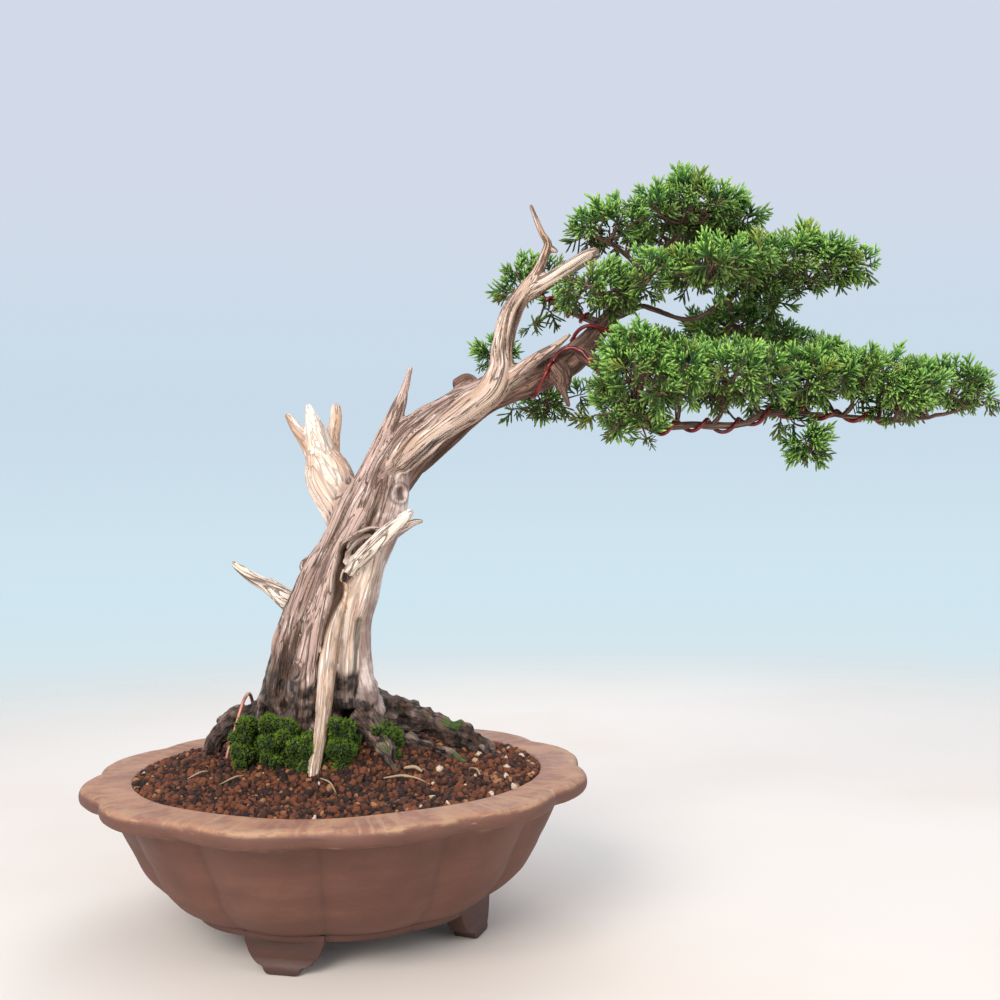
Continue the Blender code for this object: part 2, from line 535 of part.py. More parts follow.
def build_drain_mesh():
    """A square of plastic mesh over the drain hole."""
    half = MESH_HOLES * MESH_PITCH / 2
    lines = []
    for i in range(MESH_HOLES + 1):
        middle = i * MESH_PITCH - half
        lines += [middle - MESH_BAR / 2, middle + MESH_BAR / 2]
    low = FLOOR_TOP + GAP
    high = low + MESH_THICKNESS
    bm = bmesh.new()
    grid = {}
    for z in (low, high):
        for i, x in enumerate(lines):
            for j, y in enumerate(lines):
                grid[i, j, z] = bm.verts.new((x, y, z))
    last = len(lines) - 1

    def solid(i, j):
        return 0 <= i < last and 0 <= j < last and (i % 2 == 0 or j % 2 == 0)

    for i in range(last):
        for j in range(last):
            if not solid(i, j):
                continue
            corners = [(i, j), (i + 1, j), (i + 1, j + 1), (i, j + 1)]
            bm.faces.new([grid[a, b, high] for a, b in corners])
            bm.faces.new([grid[a, b, low] for a, b in reversed(corners)])
            neighbours = ((i, j - 1), (i + 1, j), (i, j + 1), (i - 1, j))
            for k, (a, b) in enumerate(neighbours):
                if not solid(a, b):
                    p, q = corners[k], corners[(k + 1) % 4]
                    bm.faces.new((grid[*p, low], grid[*q, low], grid[*q, high], grid[*p, high]))
    return add_object("drain_mesh", bm, "drain_mesh")


def wire(name, centres, radius, finish, helper=False):
    bm = bmesh.new()
    add_tube(bm, centres, [radius] * len(centres), WIRE_SIDES)
    bmesh.ops.recalc_face_normals(bm, faces=bm.faces)
    obj = add_object(name, bm, finish, helper)
    if not helper:
        obj.data.shade_smooth()
    return obj


def clip_route():
    """The staple that holds the drain mesh, from one bent end under the pot to the other."""
    top = FLOOR_TOP + GAP + MESH_THICKNESS + GAP + CLIP_WIRE + CLIP_SLACK
    under = UNDERSIDE - GAP - CLIP_WIRE - CLIP_SLACK
    right = [
        (0.0, CLIP_Y, top),
        (CLIP_LEG_X - CLIP_CORNER, CLIP_Y, top),
        (CLIP_LEG_X, CLIP_Y, top - CLIP_CORNER),
        (CLIP_LEG_X, CLIP_Y, under + CLIP_CORNER),
        (CLIP_LEG_X + CLIP_CORNER, CLIP_Y, under),
        (CLIP_FOOT_X, CLIP_Y, under),
    ]
    left = [(-x, y, z) for x, y, z in reversed(right[1:])]
    return [Vector(p) for p in left + right]


def soil_rings(raised=0.0):
    """The rings of the soil, or of a body whose top stands higher by the given amount."""
    wall = [plain(radius - WALL_GAP, z) for radius, z in WALL_RINGS[:-1]]
    edge_radius, edge = WALL_RINGS[-1]
    mound = [plain(radius, z + raised) for radius, z in MOUND_RINGS]
    return [
        RECESS_TOP,
        plain(RECESS_RADIUS, RECESS_TOP),
        plain(RECESS_RADIUS, FLOOR_TOP + GAP),
        plain(0.0855, FLOOR_TOP + GAP),
        *wall,
        plain(edge_radius - WALL_GAP, edge + raised),
        *mound,
        SOIL_PEAK + raised,
    ]


def limb_solid(name, names, grow, sides, voxel, keep, helper=False):
    """The named limbs as tubes, fused into one solid."""
    bm = bmesh.new()
    for limb in names:
        samples = smooth_route(LIMBS[limb], LIMB_STEPS)
        centres = [Vector(s[:3]) for s in samples]
        centres.insert(0, centres[0] + (centres[0] - centres[1]).normalized() * (grow + END_MARGIN))
        centres.append(centres[-1] + (centres[-1] - centres[-2]).normalized() * (grow + END_MARGIN))
        radii = [max(s[3], THINNEST) + grow for s in samples]
        radii = [radii[0], *radii, radii[-1]]
        add_tube(bm, centres, radii, sides)
    obj = add_object(name, bm, None if helper else "wood", helper)
    fuse = obj.modifiers.new("fuse", "REMESH")
    fuse.mode = "VOXEL"
    fuse.voxel_size = voxel
    fewer = obj.modifiers.new("fewer", "DECIMATE")
    fewer.ratio = keep
    settle(obj)
    return obj


def seated(route, tree, radius):
    """The route pushed out of the wood wherever a wire of this radius would sink into it."""
    clearance = radius + WIRE_CLEARANCE
    out = [Vector(p) for p in route]
    for _ in range(SEATING_PASSES):
        for i, point in enumerate(out):
            nearest, normal, _, _ = tree.find_nearest(point)
            if (point - nearest).dot(normal) < clearance:
                out[i] = nearest + normal * clearance
    return out


def coil(limb, winding, start, radius):
    """A wire's centre line wound left-handed round a limb.

    It begins on the side of the limb that faces the start point.
    """
    first, last, turns = winding
    samples = smooth_route(LIMBS[limb], COIL_LIMB_STEPS)
    centres = [Vector(s[:3]) for s in samples]
    sides = frames(centres)
    steps = turns * COIL_STEPS
    k = int(first * (len(centres) - 1))
    towards = Vector(start) - centres[k]
    phase = math.atan2(towards.dot(sides[k][1]), towards.dot(sides[k][0]))
    out = []
    for i in range(steps + 1):
        share = first + (last - first) * i / steps
        place = share * (len(centres) - 1)
        k = min(int(place), len(centres) - 2)
        centre = centres[k].lerp(centres[k + 1], place - k)
        reach = max(samples[k][3], THINNEST) + radius + WIRE_CLEARANCE
        side, up = sides[k]
        turn = phase - 2 * math.pi * turns * i / steps
        out.append(centre + (side * math.cos(turn) + up * math.sin(turn)) * reach)
    return out


def blob(name, middle, half, finish, lumps):
    """A lumpy closed ball, the outer shape of a pad of foliage or a clump of moss."""
    bm = bmesh.new()
    bmesh.ops.create_uvsphere(bm, u_segments=BLOB_SEGMENTS, v_segments=BLOB_RINGS, radius=1)
    for vertex in bm.verts:
        bump = 1 + lumps * noise.noise(vertex.co * BLOB_BUMP_SCALE + Vector(middle) * BLOB_SEED)
        vertex.co = Vector([m + h * c * bump for m, h, c in zip(middle, half, vertex.co)])
    return add_object(name, bm, finish)


def reach_along(half, direction):
    return 1 / math.sqrt(sum((d / h) ** 2 for d, h in zip(direction, half)))


def keep_apart(obj, name, group, gap):
    """Flattens a blob where it would pass the plane halfway to a neighbour."""
    middle, half = Vector(group[name][0]), group[name][1]
    for other, (there, other_half) in group.items():
        if other == name:
            continue
        apart = Vector(there) - middle
        direction = apart.normalized()
        mine = reach_along(half, direction)
        theirs = reach_along(other_half, direction)
        limit = apart.length * mine / (mine + theirs) - gap / 2
        for vertex in obj.data.vertices:
            past = (vertex.co - middle).dot(direction) - limit
            if past > 0:
                vertex.co -= direction * past


def main():
    clear_scene()
    build_pot()
    build_drain_mesh()
    wire("mesh_clip_wire", clip_route(), CLIP_WIRE, "steel_wire")
    tie = smooth_route(TIE_ROUTE, 2)
    wire("tie_down_wire", tie, TIE_WIRE, "steel_wire")
    tie_cutter = wire("tie_wire_cutter", tie, TIE_WIRE + GAP * 2, None, helper=True)

    trunk = limb_solid("trunk", LIMBS, 0.0, TUBE_SIDES, TRUNK_VOXEL, TRUNK_KEEP)
    surface = BVHTree.FromPolygons(
        [v.co for v in trunk.data.vertices], [p.vertices for p in trunk.data.polygons]
    )
    root_names = [n for n in LIMBS if n.endswith(("root", "rootlet")) or n in TRUNK_BASE]
    branch_names = [n for n in LIMBS if n not in root_names]
    root_cutter = limb_solid(
        "root_cutter", root_names, ROOT_CLEARANCE, CUTTER_SIDES, ROOT_CUTTER_VOXEL, ROOT_CUTTER_KEEP,
        helper=True,
    )
    branch_cutter = limb_solid(
        "branch_cutter", branch_names, PAD_CLEARANCE, CUTTER_SIDES, CUTTER_VOXEL, CUTTER_KEEP, helper=True
    )

    bm = bmesh.new()
    add_turned(bm, soil_rings(), LOBES * LOBE_STEPS)
    soil = add_object("soil", bm, "soil")
    boolean(soil, root_cutter, "DIFFERENCE")
    boolean(soil, tie_cutter, "DIFFERENCE")
    settle(soil)

    bm = bmesh.new()
    add_turned(bm, soil_rings(GAP), LOBES * LOBE_STEPS)
    soil_cutter = add_object("soil_cutter", bm, helper=True)
    for name, (middle, half) in MOSS.items():
        clump = blob(name, middle, half, "moss", MOSS_LUMPS)
        keep_apart(clump, name, MOSS, GAP * 2)
        boolean(clump, root_cutter, "DIFFERENCE")
        boolean(clump, soil_cutter, "DIFFERENCE")
        settle(clump)

    anchor = seated(smooth_route(ANCHOR_ROUTE, 4), surface, ANCHOR_WIRE)
    wire("root_anchor_wire", anchor, ANCHOR_WIRE, "copper_wire")
    lower = seated(smooth_route(LOWER_WIRE_START, 3), surface, TRAINING_WIRE)
    lower += coil("lower_branch", LOWER_COIL, LOWER_WIRE_START[-1], TRAINING_WIRE)
    wire("training_wire_lower", lower, TRAINING_WIRE, "training_wire")
    upper = seated(smooth_route(UPPER_WIRE_ROUTE, 3), surface, TRAINING_WIRE)
    wire("training_wire_upper", upper, TRAINING_WIRE, "training_wire")
    back = coil("back_left_branch", BACK_COIL, BACK_WIRE_START, TRAINING_WIRE)
    wire("training_wire_back", back, TRAINING_WIRE, "training_wire")

    for name, (middle, half) in PADS.items():
        pad = blob(name, middle, half, "foliage", PAD_LUMPS)
        keep_apart(pad, name, PADS, GAP * 2)
        boolean(pad, branch_cutter, "DIFFERENCE")
        settle(pad)
    remove([tie_cutter, root_cutter, branch_cutter, soil_cutter])
    move_to_origin()


def move_to_origin():
    """Puts the middle of the underside of the whole box at the origin."""
    lows = [min(v.co[axis] for o in bpy.data.objects for v in o.data.vertices) for axis in range(3)]
    highs = [max(v.co[axis] for o in bpy.data.objects for v in o.data.vertices) for axis in range(3)]
    shift = Vector(((lows[0] + highs[0]) / -2, (lows[1] + highs[1]) / -2, -lows[2]))
    for obj in bpy.data.objects:
        obj.data.transform(Matrix.Translation(shift))


main()
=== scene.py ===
"""The looks of a juniper bonsai in a lobed pot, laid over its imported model.

Metres, +Z up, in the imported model's own frame. Each operator makes one piece, or a group of like pieces.
"""

import json
import math
import random

import bmesh
import bpy
import numpy as np
from mathutils import Matrix, Vector
from mathutils.bvhtree import BVHTree

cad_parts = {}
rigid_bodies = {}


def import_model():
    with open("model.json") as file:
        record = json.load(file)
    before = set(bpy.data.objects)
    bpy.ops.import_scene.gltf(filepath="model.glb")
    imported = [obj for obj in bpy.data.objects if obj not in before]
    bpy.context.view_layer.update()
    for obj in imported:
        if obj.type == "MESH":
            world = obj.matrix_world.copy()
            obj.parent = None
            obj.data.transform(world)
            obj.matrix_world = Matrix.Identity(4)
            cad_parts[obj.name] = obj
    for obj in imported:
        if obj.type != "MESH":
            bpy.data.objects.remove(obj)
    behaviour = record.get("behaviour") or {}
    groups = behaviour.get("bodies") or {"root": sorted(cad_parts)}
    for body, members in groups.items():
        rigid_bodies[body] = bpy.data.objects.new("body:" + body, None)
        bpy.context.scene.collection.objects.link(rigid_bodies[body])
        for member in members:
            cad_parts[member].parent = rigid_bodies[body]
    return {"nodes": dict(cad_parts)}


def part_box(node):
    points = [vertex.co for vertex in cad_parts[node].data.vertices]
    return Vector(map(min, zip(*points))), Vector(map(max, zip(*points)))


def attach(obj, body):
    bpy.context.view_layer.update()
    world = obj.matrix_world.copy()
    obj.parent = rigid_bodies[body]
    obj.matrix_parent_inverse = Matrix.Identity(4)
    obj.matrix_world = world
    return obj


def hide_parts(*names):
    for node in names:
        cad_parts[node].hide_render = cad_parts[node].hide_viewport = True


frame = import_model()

bl_info = {
    "name": "Juniper Bonsai",
    "version": (1, 0, 0),
    "blender": (4, 5, 0),
    "location": "View3D > Sidebar > Bonsai",
    "description": "Builds a bonsai juniper in its pot over the packed model",
    "category": "Object",
}

BODY = "root"
POT_LOW, POT_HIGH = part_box("pot")
POT_AXIS = Vector(((POT_LOW.x + POT_HIGH.x) / 2, (POT_LOW.y + POT_HIGH.y) / 2, 0))


def metres(table):
    """A table whose numbers are written in millimetres, in metres."""
    return (np.array(table, float) / 1000).tolist()


# Pot, about its own axis. Each profile holds radius, height and how deep the lobes are cut.
LOBES = 12
FIRST_NOTCH = math.radians(3)
STEPS_PER_LOBE = 30
CREASE_EASE = 0.005  # how softly two lobes meet
CREASE_FLOOR = 0.0707
NOTCH_SINK = 0.0011
RIM_MIDDLE = 0.0935
FLOOR_RINGS = (0.03, 0.06)
UNDERSIDE = 0.0186
FLOOR_TOP = 0.0285
DRAIN_RADIUS = 0.014
WIRE_HOLE_RADIUS = 0.004
WIRE_HOLE_X = 0.045
HOLES = ((0.0, DRAIN_RADIUS), (WIRE_HOLE_X, WIRE_HOLE_RADIUS), (-WIRE_HOLE_X, WIRE_HOLE_RADIUS))
CUTTER_ENDS = (0.04, 0.01)
FOOT_ANGLES = (-103, -19, 74, 163)
FOOT_ARC_RADIUS = 0.092
FOOT_INNER = 0.0825
FOOT_OUTER = 0.0965
FOOT_ROUNDING = 0.0014
FOOT_TOE = 0.006
FOOT_FLARE = 0.0012
FOOT_FLARE_TOP = 0.008
INNER_PROFILE = metres([
    (86.2, 28.5, 0), (98, 31.5, 0), (106, 37, 0), (113.5, 44.5, 0), (120.5, 59, 0), (126.5, 71, 0),
    (128.5, 90, 0), (129, 95, 0),
])
RIM_PROFILE = metres([
    (129.6, 97, 0), (130.3, 97.9, 0), (131.6, 98.4, 0.2), (136, 98.5, 0.8), (142, 98.4, 2),
    (148, 98.4, 3.4), (153, 98.5, 4.6), (156.8, 98.3, 5.5), (158.9, 97.5, 5.8), (160.2, 96, 6),
    (160.8, 94.1, 6), (160.8, 92.1, 6), (160.3, 90.2, 6), (158.9, 88.7, 5.8), (156.6, 87.8, 5.5),
    (153.5, 87.4, 5),
])
BODY_PROFILE = metres([
    (148, 86.8, 3.4), (144.9, 85.7, 3.8), (143, 83.8, 4.6), (141.4, 80.8, 5.6), (139.4, 76.2, 6),
    (137.1, 71.2, 6.2), (134.3, 65.2, 6.2), (131.1, 59.2, 6.1), (127.7, 52.2, 6), (124, 44.7, 5.8),
    (120.5, 39.5, 5.6), (116.5, 35.2, 5.3), (112.9, 31.7, 4.9), (108.9, 28.7, 4.3), (104.7, 26, 3.6),
    (101.3, 24.3, 2.8),
])
FOOT_BAND = metres([
    (98.5, 23.6, 2.2), (97.2, 23.1, 2), (96.8, 22.2, 2), (96.7, 20.5, 2), (96.4, 19.2, 2),
    (95.5, 18.6, 1.8), (90, 18.6, 1),
])
FOOT_OUTLINE = metres([
    (24.5, 23), (24.5, 20.5), (24, 17.8), (22.8, 14.6), (20.8, 10.6), (18.6, 7.8), (16, 5.6), (13.6, 4.6),
    (12.2, 4.1), (11.3, 3), (10.4, 1.4), (9.4, 0.4), (7.5, 0),
])

# Distance from the pot's axis and height of the soil's top, then of its wall and underside.
SOIL_PROFILE = metres([
    (0, 127), (30, 122.2), (45, 115.7), (60, 109), (80, 104.2), (100, 101.2), (120, 98.3), (128.4, 96.6),
])
SOIL_RADIUS = 0.1284
TRUNK_FOOT_RADIUS = 0.026
FRONT_DIP = 0.0065
SOIL_WALL = metres([
    (128.4, 96), (127.8, 90), (125.6, 71.2), (119.4, 59.2), (112.4, 44.8), (104.9, 37.3), (97.1, 31.9),
    (85.5, 28.9), (31, 28.9), (31, 32.8), (0, 32.8),
])

# Centre lines of the trunk's limbs and of the branches: x, y, z and radius at each point, from the base
# of each limb to its tip. Neighbouring limbs overlap, and all but the branches are fused into one skin.
LIMBS = {name: metres(rows) for name, rows in {
    "core": [(-14, 5, 111, 33), (-13, 4, 141, 32.3), (-12, 3, 164, 28.3), (-9, 2, 190, 25.6),
        (-1, 2, 215, 23), (8, 3, 236, 21.1), (17, 4, 258, 19.8), (26, 4, 277, 17.8), (35, 4, 296, 15.2),
        (48, 4, 313, 13.2), (67, 4, 327, 11.9), (87, 4, 338, 10.5), (101, 3, 345, 9.2)],
    "left_flute": [(-41, -8, 127, 13.6), (-36, -10, 150, 12.9), (-31, -10, 172, 12.9), (-24, -10, 198, 11),
        (-13, -8, 224, 10.4), (-3, -6, 243, 9.7), (8, -4, 266, 9.1), (18, -2, 286, 7.8), (27, 0, 305, 7.2),
        (35, 0, 321, 5.9), (41, 0, 336, 4.3), (45, 0, 348, 2.9), (48, 0, 359, 1.7)],
    "right_column": [(22, -12, 134, 10.3), (15, -14, 156, 9.6), (13, -14, 176, 9), (14, -14, 195, 9),
        (19, -12, 214, 9), (25, -10, 234, 8.4), (33, -6, 254, 8.4), (38, -4, 272, 8.5), (39, 0, 288, 7.9)],
    "mid_flute": [(-21, -22, 129, 11.4), (-18, -24, 152, 10.8), (-15, -25, 174, 9.5), (-10, -25, 196, 8.9),
        (-4, -24, 218, 7.6), (2, -20, 235, 7), (10, -14, 251, 6.4), (20, -8, 269, 5.8)],
    "pale_panel": [(6, -24, 142, 7.6), (7, -26, 168, 8.2), (9, -25, 190, 8.9), (13, -23, 208, 8.9),
        (19, -20, 224, 7.7), (24, -15, 240, 6.4)],
    "front_strip": [(7, -28, 218, 4.4), (2, -34, 197, 5.6), (-2, -38, 172, 5.9), (-4, -42, 148, 5.3),
        (-6, -48, 125, 4.6), (-9, -53, 108, 4.2), (-10, -57, 95, 3.4), (-11, -60, 86, 2.2)],
    "hood": [(1, -30, 206, 3.1), (2, -31, 223, 3.8), (7, -30, 239, 4.1), (15, -27, 248, 3.8),
        (24, -23, 252, 3.5), (32, -19, 250, 3.2)],
    "cross_jin": [(10, -26, 226, 4.4), (19, -31, 236, 5.7), (28, -35, 244, 5.6), (37, -39, 252, 5),
        (45, -42, 259, 4), (51, -44, 264, 2.2)],
    "mossy_stub": [(35, -2, 250, 4.6), (43, -2, 254, 3.3), (49, -2, 257, 2.6), (55, -2, 258, 1.6)],
    "fork_stem": [(8, 4, 249, 11.2), (3, 8, 264, 11.9), (-5, 11, 281, 12), (-10, 13, 294, 10.7),
        (-14, 14, 305, 8)],
    "fork_left": [(-16, 14, 301, 6), (-23, 14, 312, 4.3), (-30, 14, 321, 3), (-36, 14, 330, 1.7)],
    "fork_mid": [(-13, 12, 305, 6.7), (-16, 10, 318, 5.3), (-19, 9, 328, 3.3), (-21, 9, 336, 1.6)],
    "fork_right": [(-8, 18, 301, 6), (-7, 22, 315, 4.7), (-5, 25, 327, 3.7), (-5, 27, 337, 2.7)],
    "left_jin": [(-27, 4, 202, 7.2), (-37, 3, 209, 5.3), (-47, 2, 216, 3.6), (-57, 1, 222, 2.8),
        (-65, 0, 228, 2), (-70, 0, 232, 1.3)],
    "left_stub": [(-34, 8, 209, 4.6), (-42, 11, 215, 3.3), (-49, 13, 220, 2)],
    "back_stub": [(-15, 12, 218, 4.7), (-22, 14, 223, 3.7), (-26, 15, 229, 2.7), (-21, 15, 235, 2)],
    "right_root": [(6, 12, 138, 16.6), (27, 18, 131, 14.8), (47, 20, 126, 11.4), (65, 20, 119, 9.4),
        (83, 18, 113, 8.1), (95, 16, 104, 6), (103, 16, 90, 4)],
    "right_rootlet": [(38, -5, 118, 5.9), (56, -10, 113, 4.5), (69, -16, 110, 3.2), (81, -18, 103, 2.6)],
    "front_right_root": [(16, -18, 133, 12.8), (27, -28, 122, 10.1), (34, -36, 113, 6.9),
        (41, -42, 102, 4.3)],
    "left_root": [(-26, 0, 131, 17.7), (-47, 0, 134, 11.8), (-63, 2, 131, 10.5), (-74, 4, 125, 9.9),
        (-82, 6, 117, 7.9), (-86, 8, 107, 6), (-89, 10, 96, 4)],
    "front_left_root": [(-27, -18, 131, 14.1), (-33, -30, 118, 10.1), (-37, -40, 106, 5.6)],
    "front_root": [(-5, -22, 130, 14.6), (0, -34, 115, 10.6), (4, -44, 101, 5.6)],
    "back_root": [(-17, 20, 131, 20.2), (-19, 45, 109, 15.3), (-21, 66, 86, 8.6)],
    "back_right_root": [(4, 20, 130, 14.8), (14, 48, 105, 9.8), (24, 70, 82, 5.7)],
    "back_left_root": [(-37, 20, 131, 14.8), (-55, 46, 106, 9.7), (-72, 66, 84, 5.7)],
    "main_pale": [(40, -8, 294, 8.4), (54, -9, 307, 9.1), (71, -9, 320, 9.1), (87, -8, 331, 9.1),
        (100, -6, 341, 9.1), (107, -4, 355, 8.5), (108, -2, 369, 7.8), (111, -1, 384, 7.2),
        (116, 0, 397, 7.2), (123, 0, 407, 6.6), (131, 0, 418, 4.9), (136, 0, 430, 3.6), (139, 0, 439, 3.1),
        (135, 0, 447, 2.4), (131, 0, 457, 2), (128, 0, 465, 1.7)],
    "jin_spur": [(140, 0, 437, 2.6), (145, 0, 434, 1.4)],
    "right_fork": [(119, 2, 402, 5.9), (130, 0, 410, 6.2), (142, -3, 416, 5.9), (154, -6, 423, 5.2),
        (165, -8, 429, 4.9), (171, -9, 431, 3.9)],
    "live_vein": [(26, 6, 262, 7), (41, 6, 283, 7.6), (56, 6, 301, 7.9), (73, 6, 315, 7.3),
        (92, 6, 331, 6.6), (110, 5, 342, 7.9), (126, 4, 350, 9.9), (141, 3, 357, 10.5), (153, 3, 363, 9.2),
        (163, 4, 372, 7.9), (175, 6, 386, 6.6), (187, 8, 399, 5.6), (201, 10, 414, 4.6),
        (214, 12, 431, 3.7), (228, 12, 449, 2.8), (236, 10, 466, 2), (238, 8, 479, 1.3)],
    "small_jin": [(107, -2, 346, 5.9), (120, -8, 355, 5.2), (133, -12, 364, 3.9), (143, -14, 370, 2.6),
        (152, -15, 377, 1.2)],
    "burr": [(143, -4, 357, 8.5), (147, -7, 349, 7.1), (147, -8, 342, 3.9)],
    "burr_peg": [(147, -10, 343, 2.6), (149, -10, 337, 2.3), (151, -10, 331, 1.8)],
    "bark_nub": [(77, 8, 348, 4.6), (85, 8, 352, 4.6), (91, 8, 350, 2.6)],
    "lower_branch": [(158, 0, 368, 6.6), (169, -12, 358, 5.5), (178, -22, 342, 4.1), (187, -28, 325, 3.5),
        (202, -30, 315, 3.1), (227, -26, 317, 3.2), (256, -16, 317, 2.9), (285, -6, 326, 2.6),
        (316, 0, 325, 2.3), (347, 4, 323, 2.1), (374, 6, 321, 2), (405, 8, 326, 1.6), (423, 8, 332, 1.2)],
    "back_left_branch": [(178, 12, 387, 4), (165, 22, 394, 3), (152, 30, 401, 2.6), (139, 36, 410, 2.1),
        (124, 40, 419, 1.7)],
    "arc_branch": [(186, 10, 393, 3.3), (201, 14, 400, 2.8), (215, 18, 397, 2.3), (230, 20, 392, 2.2),
        (245, 22, 395, 2.1), (261, 22, 407, 2), (277, 20, 418, 1.7), (306, 16, 429, 1.5),
        (333, 12, 436, 1.2)],
    "upper_left_branch": [(205, 6, 419, 3), (193, 0, 429, 2.4), (181, -4, 437, 2), (166, -6, 444, 1.6),
        (155, -6, 448, 1.2)],
    "centre_branch": [(210, 8, 426, 2.6), (225, -8, 423, 2.1), (243, -22, 417, 1.7), (259, -30, 417, 1.3)],
    "mid_left_branch": [(188, 2, 399, 3), (175, -12, 404, 2.3), (161, -22, 408, 1.8), (147, -26, 412, 1.3)],
    "back_upper_branch": [(202, 18, 415, 3), (215, 45, 430, 2.5), (231, 70, 442, 2), (247, 88, 451, 1.5)],
    "back_lower_branch": [(167, 12, 374, 4), (184, 40, 375, 3.2), (207, 68, 376, 2.6), (233, 90, 380, 2.1)],
    "far_small_branch": [(127, 16, 357, 3), (115, 30, 364, 2), (104, 40, 371, 1.5)],
    "below_branch": [(144, 14, 357, 3.3), (141, 34, 347, 2.1), (138, 46, 341, 1.5)],
}.items()}

# Foliage pads: the middle of each and half its size along x, y and z, in millimetres.
PADS = {name: metres(rows) for name, rows in {
    "foliage_apex": ((232, 4, 463), (34, 42, 29)),
    "foliage_apex_right": ((270, 22, 459), (20, 32, 20)),
    "foliage_upper_left": ((179, -6, 447), (34, 40, 19)),
    "foliage_beside_jin": ((123, 44, 421), (22, 30, 22)),
    "foliage_middle_left": ((169, -22, 403), (37, 40, 23)),
    "foliage_centre": ((234, -30, 414), (34, 44, 23)),
    "foliage_upper_right": ((310, 10, 423), (48, 52, 29)),
    "foliage_far_left": ((105, 42, 371), (20, 22, 14)),
    "foliage_under_branch": ((138, 48, 340), (26, 24, 13)),
    "foliage_back_middle": ((274, 66, 396), (37, 40, 20)),
    "foliage_lower_left": ((190, -46, 343), (33, 48, 40)),
    "foliage_lower_centre": ((247, -34, 346), (28, 52, 28)),
    "foliage_lower_right": ((301, -6, 344), (28, 52, 28)),
    "foliage_behind_right": ((322, 64, 376), (24, 36, 16)),
    "foliage_outer": ((337, -10, 350), (22, 44, 22)),
    "foliage_outer_front": ((362, -14, 332), (22, 40, 23)),
    "foliage_tip": ((403, 10, 342), (36, 42, 26)),
    "foliage_hanging": ((307, -4, 305), (14, 16, 14)),
    "foliage_back_upper": ((247, 78, 449), (33, 40, 27)),
    "foliage_back_lower": ((222, 76, 372), (34, 44, 26)),
}.items()}

# Moss clumps: the middle and half size of each, in millimetres.
MOSS = {name: metres(rows) for name, rows in {
    "moss_left_root": ((-52, -29, 121), (10.5, 11, 17)),
    "moss_front_left": ((-31, -40, 119), (13, 12, 18)),
    "moss_front_middle": ((-15, -46, 116), (9, 11, 16)),
    "moss_front_right": ((6.5, -43, 117), (10.5, 12, 22.5)),
    "moss_right_root": ((34, -27, 118), (8.5, 10, 15)),
}.items()}

# Wires listed point by point, end to end.
ANCHOR_ROUTE = metres([
    (-58, 18, 114), (-59, 15, 130), (-60, 5, 145), (-60.5, -7, 145), (-62, -12.5, 139), (-64.5, -17, 128),
    (-67.5, -21.5, 116), (-69, -23, 109),
])
TIE_ROUTE = metres([
    (-30, 0, 92), (-42, 0, 88), (-45, 0, 75), (-45, 0, 30), (-45, 0, 18.5), (-43, 0, 16.8), (0, 0, 16.6),
    (43, 0, 16.8), (45, 0, 18.5), (45, 0, 30), (45, 0, 75), (42, 0, 88), (30, 0, 92),
])
CLIP_LEG_X = 0.00975
CLIP_Y = 0.00325
CLIP_FOOT_X = 0.022
# Start of the wire that crosses the thick end of the live branch before it coils along a limb.
LOWER_WIRE_START = metres([
    (128, 14, 343), (128, 4, 338), (130, -5, 340), (134, -10, 348), (139, -11, 357), (145, -10, 366),
    (153, -11, 369), (160, -13, 366),
])
BACK_WIRE_START = (0.17, 0.015, 0.4)
UPPER_WIRE_ROUTE = metres([
    (160, 14, 367), (156, 9, 372), (155.5, 3, 378), (160, -1.5, 383), (166, -3.5, 384.5), (172, -3.5, 383),
    (178, -1.5, 381), (182, 3, 381),
])

# What each kind of wood is like: how pale, brown, smooth and dark it is, all from 0 to 1.
WOODS = {
    "bark": (0.15, 0, 0, 0), "column": (0.05, 0, 0.75, 0), "pale": (1, 0, 0, 0), "tan": (0.88, 0.12, 0, 0),
    "panel": (1, 0, 0.6, 0), "brown": (0, 1, 0, 0), "root": (0.1, 0.35, 0, 0.85), "dark_root": (0, 0.3, 0, 1),
    "peg": (0.25, 0.9, 0.5, 0), "greyed": (0.55, 0, 0, 0),
}
WOOD_OF = {name: wood for wood, names in {
    "bark": "core left_flute mid_flute",
    "column": "right_column",
    "panel": "pale_panel front_strip fork_stem fork_left fork_mid fork_right",
    "greyed": "hood mossy_stub back_stub",
    "pale": "cross_jin left_jin left_stub",
    "root": "right_root right_rootlet front_right_root back_right_root",
    "dark_root": "left_root front_left_root front_root back_root back_left_root",
    "tan": "main_pale jin_spur right_fork small_jin",
    "brown": "live_vein burr bark_nub",
    "peg": "burr_peg",
}.items() for name in names.split()}
# Grooves and holes in the trunk: the line, then its width and depth, all in millimetres.
GROOVES = [(metres(line), width / 1000, depth / 1000) for line, width, depth in [
    ([(25, -28, 250), (15, -32, 244), (7.5, -34, 237), (4.5, -34, 224), (3.5, -34, 211), (-1.5, -36, 196),
      (-5, -37, 180)], 3.4, 6),
    ([(10.5, -34, 238), (20, -32, 242)], 7, 10),
    ([(-5, -37, 183), (-8, -38, 165), (-9.5, -40, 148)], 2.2, 3),
    ([(16, -30, 195), (14, -30, 174), (11, -30, 156)], 2.4, 2.8),
    ([(41.7, -12, 278.1), (42.5, -12, 274)], 3, 3.4),
    ([(36, -14, 286), (44, -14, 287.5)], 2.4, 3),
    ([(-35, -24, 150), (-26, -24, 180), (-16, -24, 212), (-6, -22, 238), (6, -18, 264),
      (18, -14, 285)], 2.6, 3),
]]
